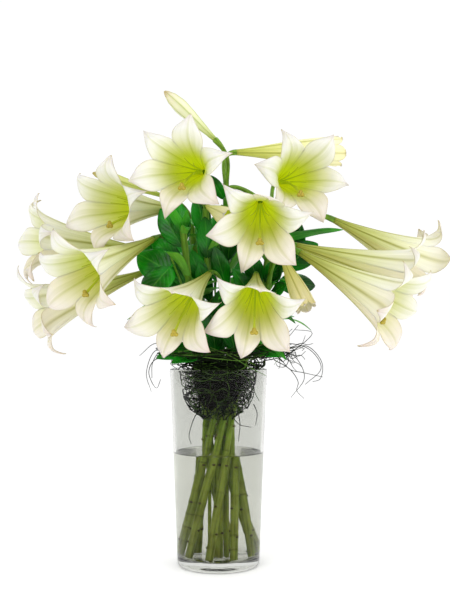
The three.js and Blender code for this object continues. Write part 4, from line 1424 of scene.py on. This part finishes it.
def curled_strand(i):
    """One tendril curled on itself at a slant, kept inside the nest's outline."""
    seed = 9 * i + 4
    height = mix(*CURL_HEIGHTS, chance(seed + 2))
    share = mix(0.35, 0.95, chance(seed + 1) ** 0.7)
    centre = toward(around(seed)) * nest_reach(height) * share + UP * height
    size = mix(0.006, 0.021, chance(seed + 3))
    normal = Vector([chance(seed + k) - 0.5 for k in (4, 5, 6)]).normalized()
    side = normal.orthogonal().normalized()
    other = normal.cross(side)
    sweep = mix(2.5, 8, chance(seed + 7))
    points = []
    for t in shares(32):
        wobble = noise.noise_vector(Vector((i * 2.3, t * 2.6, 1.5))) * CURL_WANDER
        bend = side * math.cos(sweep * t) + other * math.sin(sweep * t)
        spot = centre + bend * size * mix(1, 0.6, t) + wobble
        spot.z = between(CURL_LIMITS, spot.z)
        spot.xy *= min(1, (nest_reach(spot.z) - INSET) / max(spot.xy.length, 1e-6))
        points.append(spot)
    return points


def wound_strand(i):
    """One tendril wound part of the way round the nest, wandering in and out of it and up and down."""
    seed = 7 * i
    sweep = mix(0.9, 3.6, chance(seed + 1)) * (1 if i % 2 else -1)
    low = WIND_START + WIND_GAIN * chance(seed + 2) ** 0.8
    climb = (chance(seed + 3) - 0.5) * 0.03
    depth = mix(0.55, 1.0, chance(seed + 4) ** 0.5)
    points = []
    for t in shares(30):
        wobble = noise.noise_vector(Vector((i * 3.7, t * 3.2, 0.5))) * WIND_WANDER
        height = between(WIND_LIMITS, low + climb * t + wobble.z)
        reach = min(nest_reach(height) * depth - INSET + wobble.x * 0.5, nest_reach(height) - INSET)
        angle = around(seed) + sweep * t + wobble.y * 6
        points.append(Vector((reach * math.cos(angle), reach * math.sin(angle), height)))
    return points


def straying_strand(i):
    """One tendril that leaves the nest over the rim, wanders outside it and turns back."""
    seed = 11 * i + 2
    turn = around(seed)
    far = mix(*STRAY_REACH, chance(seed + 1)) * mix(0.8, 1, abs(math.cos(turn)))
    sweep = mix(0.6, 2.2, chance(seed + 2))
    points = []
    for t in shares(26):
        wobble = noise.noise_vector(Vector((i * 2.9, t * 2.8, 4.5))) * STRAY_WANDER
        reach = mix(STRAY_ROOT, far, math.sin(math.pi * t)) + wobble.x * 0.5
        angle = turn + sweep * (t - 0.5) + wobble.y * 5
        height = STRAY_HEIGHT + 0.01 * chance(seed + 3) * math.sin(math.pi * t) + wobble.z * 0.6
        height = max(height, VASE_TOP.z + 0.002)
        points.append(Vector((reach * math.cos(angle), reach * math.sin(angle), height)))
    return points


def tuft_strand(i):
    """One short tendril of the tuft, which kinks as it grows."""
    seed = 5 * i
    turn = around(seed)
    line = [TUFT_PLACE + Vector((math.cos(turn), 0.6 * math.sin(turn), 0)) * TUFT_RING]
    way = Vector((chance(seed + 1) - 0.4, chance(seed + 2) - 0.5, chance(seed + 3) - 0.35)).normalized()
    for k in range(TUFT_STEPS):
        way = (way + noise.noise_vector(Vector((i * 1.9, k * 0.3, 2.5))) * 0.8).normalized()
        line.append(line[-1] + way * TUFT_STEP)
    return line


def heart_of_nest(bm):
    """The nest's dark heart: its own outline drawn in, and roughened."""
    def point(u, v):
        turn = math.pi * (u + 1)
        height = mix(*HEART_HEIGHTS, v)
        reach = nest_reach(height) * HEART_SHARE * math.sin(math.pi * between((0, 1), v)) ** 0.25
        reach *= 1 + 0.15 * noise.noise(Vector((math.cos(turn) * 2, math.sin(turn) * 2, v * 5)))
        return Vector((reach * math.cos(turn), reach * math.sin(turn), height))

    close_up(bm, sheet_by_formula(bm, 40, 20, point))


def build_nest(material, settings):
    """A dark heart of packed vine, the strands wound and curled round it, and the ones that stray."""
    noise.seed_set(NEST_SEED)
    bm = new_bmesh()
    kind = bm.verts.layers.float.new("kind")

    def strand(points, freshness, root, tip, sides=5):
        """A strand that tapers between two shares of a strand's radius."""
        tube(
            bm, points, lambda t: settings.strand_radius * mix(root, tip, t), sides,
            paint=(kind, lambda t: freshness))

    heart_of_nest(bm)
    for i in range(settings.strands + settings.curls):
        girth = mix(0.5, 1.0, chance(7 * i + 6))
        points = wound_strand(i) if i < settings.strands else curled_strand(i)
        strand(points, chance(7 * i + 5) ** 2, girth, girth)
    for i in range(settings.strays):
        girth = mix(0.4, 0.8, chance(3 * i))
        strand(straying_strand(i), 0.8 * chance(3 * i + 1) ** 2, girth, girth)
    for freshness, *points in WISPS:
        strand(evenly(smooth_route([place(p) for p in points]), 40), freshness, 0.8, 0.4, 6)
    for i in range(TUFT):
        strand(tuft_strand(i), 0.4 * chance(5 * i + 4), 0.8, 0.4)
    finish_piece("vine_nest", bm, [material], ["nest_of_vine"])


# Operators

# The lamps: place, width and power in watts. Both face the blooms.
LAMPS = {
    "key": ((-0.9, -1.6, 1.7), 1.2, 13),
    "fill": ((1.5, -1.2, 0.7), 1.4, 12),
}
LIT = (0, 0, 0.35)

# The sky's least strength, as a share of its greatest; it is brightest behind the object and overhead
DARK_SIDE = 0.6

# The camera, where the photo's perspective and frame put it: place, tilt up from level, and lens
CAMERA_PLACE = (0.0084, -1.1801, 0.2957)
CAMERA_TILT = math.radians(2.072)
CAMERA_LENS = 54.72
SENSOR_HEIGHT = 36


def build_floor(settings):
    """A floor of white acrylic lit from below: smooth, plain, and as bright as the photo's ground."""
    bm = new_bmesh()
    bmesh.ops.create_grid(bm, x_segments=1, y_segments=1, size=settings.floor_size / 2, calc_uvs=True)
    mesh = bpy.data.meshes.new("floor")
    bm.to_mesh(mesh)
    bm.free()
    material, tree = blank_material("lit_white_acrylic")
    finish_material(
        tree, Base_Color=settings.floor_colour, Roughness=0.85, Emission_Color=settings.floor_colour,
        Emission_Strength=settings.glow)
    mesh.materials.append(material)
    floor = bpy.data.objects.new("floor", mesh)
    bpy.context.scene.collection.objects.link(floor)


def light_all_round(settings):
    """The even white light of a studio tent, stronger from behind and above."""
    world = bpy.data.worlds.new("soft_studio")
    bpy.context.scene.world = world
    world.use_nodes = True
    tree = world.node_tree
    tree.nodes.clear()
    way = add(tree, "ShaderNodeTexCoord").outputs["Generated"]
    parts = add(tree, "ShaderNodeSeparateXYZ", {"Vector": way})
    ahead = maths(tree, "MULTIPLY_ADD", parts.outputs["Z"], 0.6, parts.outputs["Y"])
    ahead = maths(tree, "MULTIPLY_ADD", ahead, 0.9, 0.6, clamp=True)
    strength = maths(
        tree, "MULTIPLY_ADD", ahead, settings.sky * (1 - DARK_SIDE), settings.sky * DARK_SIDE)
    sky = add(tree, "ShaderNodeBackground", {"Color": (1, 1, 1, 1), "Strength": strength})
    add(tree, "ShaderNodeOutputWorld", {"Surface": sky.outputs["Background"]})


def place_lamp(name, spot, size, power):
    """A square lamp that faces the blooms."""
    lamp = bpy.data.lights.new(name, "AREA")
    lamp.size = size
    lamp.energy = power
    light = bpy.data.objects.new(name, lamp)
    light.location = spot
    light.rotation_euler = (Vector(LIT) - Vector(spot)).to_track_quat("-Z", "Y").to_euler()
    bpy.context.scene.collection.objects.link(light)


def place_camera():
    """The camera, and the plain view of colours that suits a white picture."""
    scene = bpy.context.scene
    camera = bpy.data.cameras.new("camera")
    camera.sensor_fit = "VERTICAL"
    camera.sensor_height = SENSOR_HEIGHT
    camera.lens = CAMERA_LENS
    eye = bpy.data.objects.new("camera", camera)
    eye.location = CAMERA_PLACE
    eye.rotation_euler = (math.radians(90) + CAMERA_TILT, 0, 0)
    scene.collection.objects.link(eye)
    scene.camera = eye
    scene.view_settings.view_transform = "Standard"


class LILY_OT_stage(bpy.types.Operator):
    """Floor, lights and the camera"""
    bl_idname = "lily.stage"
    bl_label = "Stage"

    def execute(self, context):
        build_floor(context.scene.lily_stage)
        light_all_round(context.scene.lily_stage)
        for name, (spot, size, power) in LAMPS.items():
            place_lamp(name, spot, size, power)
        place_camera()
        return {"FINISHED"}


class LILY_OT_vase(bpy.types.Operator):
    """The clear conical vase, with a thick foot and a rounded lip"""
    bl_idname = "lily.vase"
    bl_label = "Vase"

    def execute(self, context):
        vase = context.scene.lily_vase
        outer = glass_radius(vase, vase.height)
        foot = (vase.base_radius, 0)
        lip_out, lip_in = (outer, vase.height), (outer - vase.wall, vase.height)
        low_in = (glass_radius(vase, vase.floor) - vase.wall, vase.floor)
        middle = (0, vase.floor)
        profile = [(vase.base_radius * share, rise) for share, rise in FOOT_HOLLOW]
        profile += rounded(foot, profile[-1], lip_out, FOOT_CORNER)
        profile += rounded(lip_out, foot, lip_in, LIP_CORNER)
        profile += rounded(lip_in, lip_out, low_in, LIP_CORNER)
        profile += rounded(low_in, lip_in, middle, INNER_CORNER)
        bm = new_bmesh()
        turned(bm, [*profile, middle], vase.steps)
        finish_piece("glass_vase", bm, [glass_material(vase)], ["vase"])
        return {"FINISHED"}


class LILY_OT_water(bpy.types.Operator):
    """The water, which wets the glass and creeps up it a little at the edge"""
    bl_idname = "lily.water"
    bl_label = "Water"

    def execute(self, context):
        vase = context.scene.lily_vase
        level = WATER_TOP.z
        edge = glass_radius(vase, level) - vase.wall + SOAK
        floor = vase.floor - SOAK
        low_in = (glass_radius(vase, floor) - vase.wall + SOAK, floor)
        profile = [(0, floor)] + rounded(low_in, (0, floor), (edge, level), INNER_CORNER)
        profile += [(edge - inward, level + rise) for inward, rise in CREEP]
        bm = new_bmesh()
        turned(bm, [*profile, (0, level)], vase.steps)
        finish_piece("vase_water", bm, [water_material()], ["water"])
        return {"FINISHED"}


class LILY_OT_blooms(bpy.types.Operator):
    """The open and half-open trumpets"""
    bl_idname = "lily.blooms"
    bl_label = "Blooms"

    def execute(self, context):
        settings = context.scene.lily_bloom
        grown = [petal_material("lily_petal_outside", False), petal_material("lily_petal_inside", True)]
        young = [
            petal_material("young_petal_outside", False, True),
            petal_material("young_petal_inside", True),
        ]
        for name in BLOOMS:
            build_bloom(name, young if BLOOMS[name][3] < HALF_OPEN else grown, settings)
        return {"FINISHED"}


class LILY_OT_pistils(bpy.types.Operator):
    """A pistil and six stamens in each open bloom"""
    bl_idname = "lily.pistils"
    bl_label = "Pistils"

    def execute(self, context):
        materials = pistil_materials()
        for name in BLOOMS:
            if BLOOMS[name][3] >= HALF_OPEN:
                build_pistil(name, materials)
        return {"FINISHED"}


class LILY_OT_buds(bpy.types.Operator):
    """The closed buds"""
    bl_idname = "lily.buds"
    bl_label = "Buds"

    def execute(self, context):
        build_bud("top", bud_material("pale_bud", PALE_BUD))
        build_bud("left", bud_material("green_bud", GREEN_BUD))
        return {"FINISHED"}


class LILY_OT_stems(bpy.types.Operator):
    """The lily stems with their flower stalks"""
    bl_idname = "lily.stems"
    bl_label = "Stems"

    def execute(self, context):
        materials = stem_materials()
        for name in STEMS:
            build_stem(name, materials, context.scene.lily_stem)
        return {"FINISHED"}


class LILY_OT_leaves(bpy.types.Operator):
    """The leaves of the lily stems"""
    bl_idname = "lily.leaves"
    bl_label = "Lily leaves"

    def execute(self, context):
        scene = context.scene
        narrow, wide = lily_leaf_materials(), broad_leaf_materials()
        for name in STEMS:
            build_lily_leaves(name, narrow, scene.lily_stem, scene.lily_foliage)
        for name in UNDERGROWTH:
            build_undergrowth(name, narrow, wide, scene.lily_stem, scene.lily_foliage)
        return {"FINISHED"}


class LILY_OT_sprigs(bpy.types.Operator):
    """The sprigs of broad dark leaves"""
    bl_idname = "lily.sprigs"
    bl_label = "Sprigs"

    def execute(self, context):
        wide = broad_leaf_materials()
        stem, _ = stem_materials()
        for name in SPRIGS:
            build_sprig(name, [*wide, stem], context.scene.lily_foliage)
        return {"FINISHED"}


class LILY_OT_nest(bpy.types.Operator):
    """The nest of tangled vine in the mouth of the vase"""
    bl_idname = "lily.nest"
    bl_label = "Nest of vine"

    def execute(self, context):
        build_nest(vine_material(), context.scene.lily_nest)
        return {"FINISHED"}


STEPS = (
    LILY_OT_stage, LILY_OT_vase, LILY_OT_water, LILY_OT_nest, LILY_OT_stems, LILY_OT_leaves, LILY_OT_sprigs,
    LILY_OT_blooms, LILY_OT_pistils, LILY_OT_buds,
)


class LILY_PT_panel(bpy.types.Panel):
    """A button for each step and a box for each group of settings"""
    bl_label = "Lilies in a vase"
    bl_idname = "LILY_PT_panel"
    bl_space_type = "VIEW_3D"
    bl_region_type = "UI"
    bl_category = "Lilies"

    def draw(self, context):
        for step in STEPS:
            self.layout.operator(step.bl_idname)
        for name in SETTINGS:
            box = self.layout.box()
            group = getattr(context.scene, name)
            for key in group.bl_rna.properties.keys():
                if key not in ("rna_type", "name"):
                    box.prop(group, key)


SETTINGS = {
    "lily_vase": VaseSettings,
    "lily_bloom": BloomSettings,
    "lily_stem": StemSettings,
    "lily_foliage": FoliageSettings,
    "lily_nest": NestSettings,
    "lily_stage": StageSettings,
}
CLASSES = (*SETTINGS.values(), *STEPS, LILY_PT_panel)


def register():
    """Adds the settings, the steps and the panel to Blender."""
    for made in CLASSES:
        bpy.utils.register_class(made)
    for name, group in SETTINGS.items():
        setattr(bpy.types.Scene, name, PointerProperty(type=group))


def unregister():
    """Takes them away again."""
    for name in SETTINGS:
        delattr(bpy.types.Scene, name)
    for made in reversed(CLASSES):
        bpy.utils.unregister_class(made)


def main():
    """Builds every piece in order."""
    register()
    for step in STEPS:
        group, name = step.bl_idname.split(".")
        getattr(getattr(bpy.ops, group), name)()


if __name__ == "__main__":
    main()
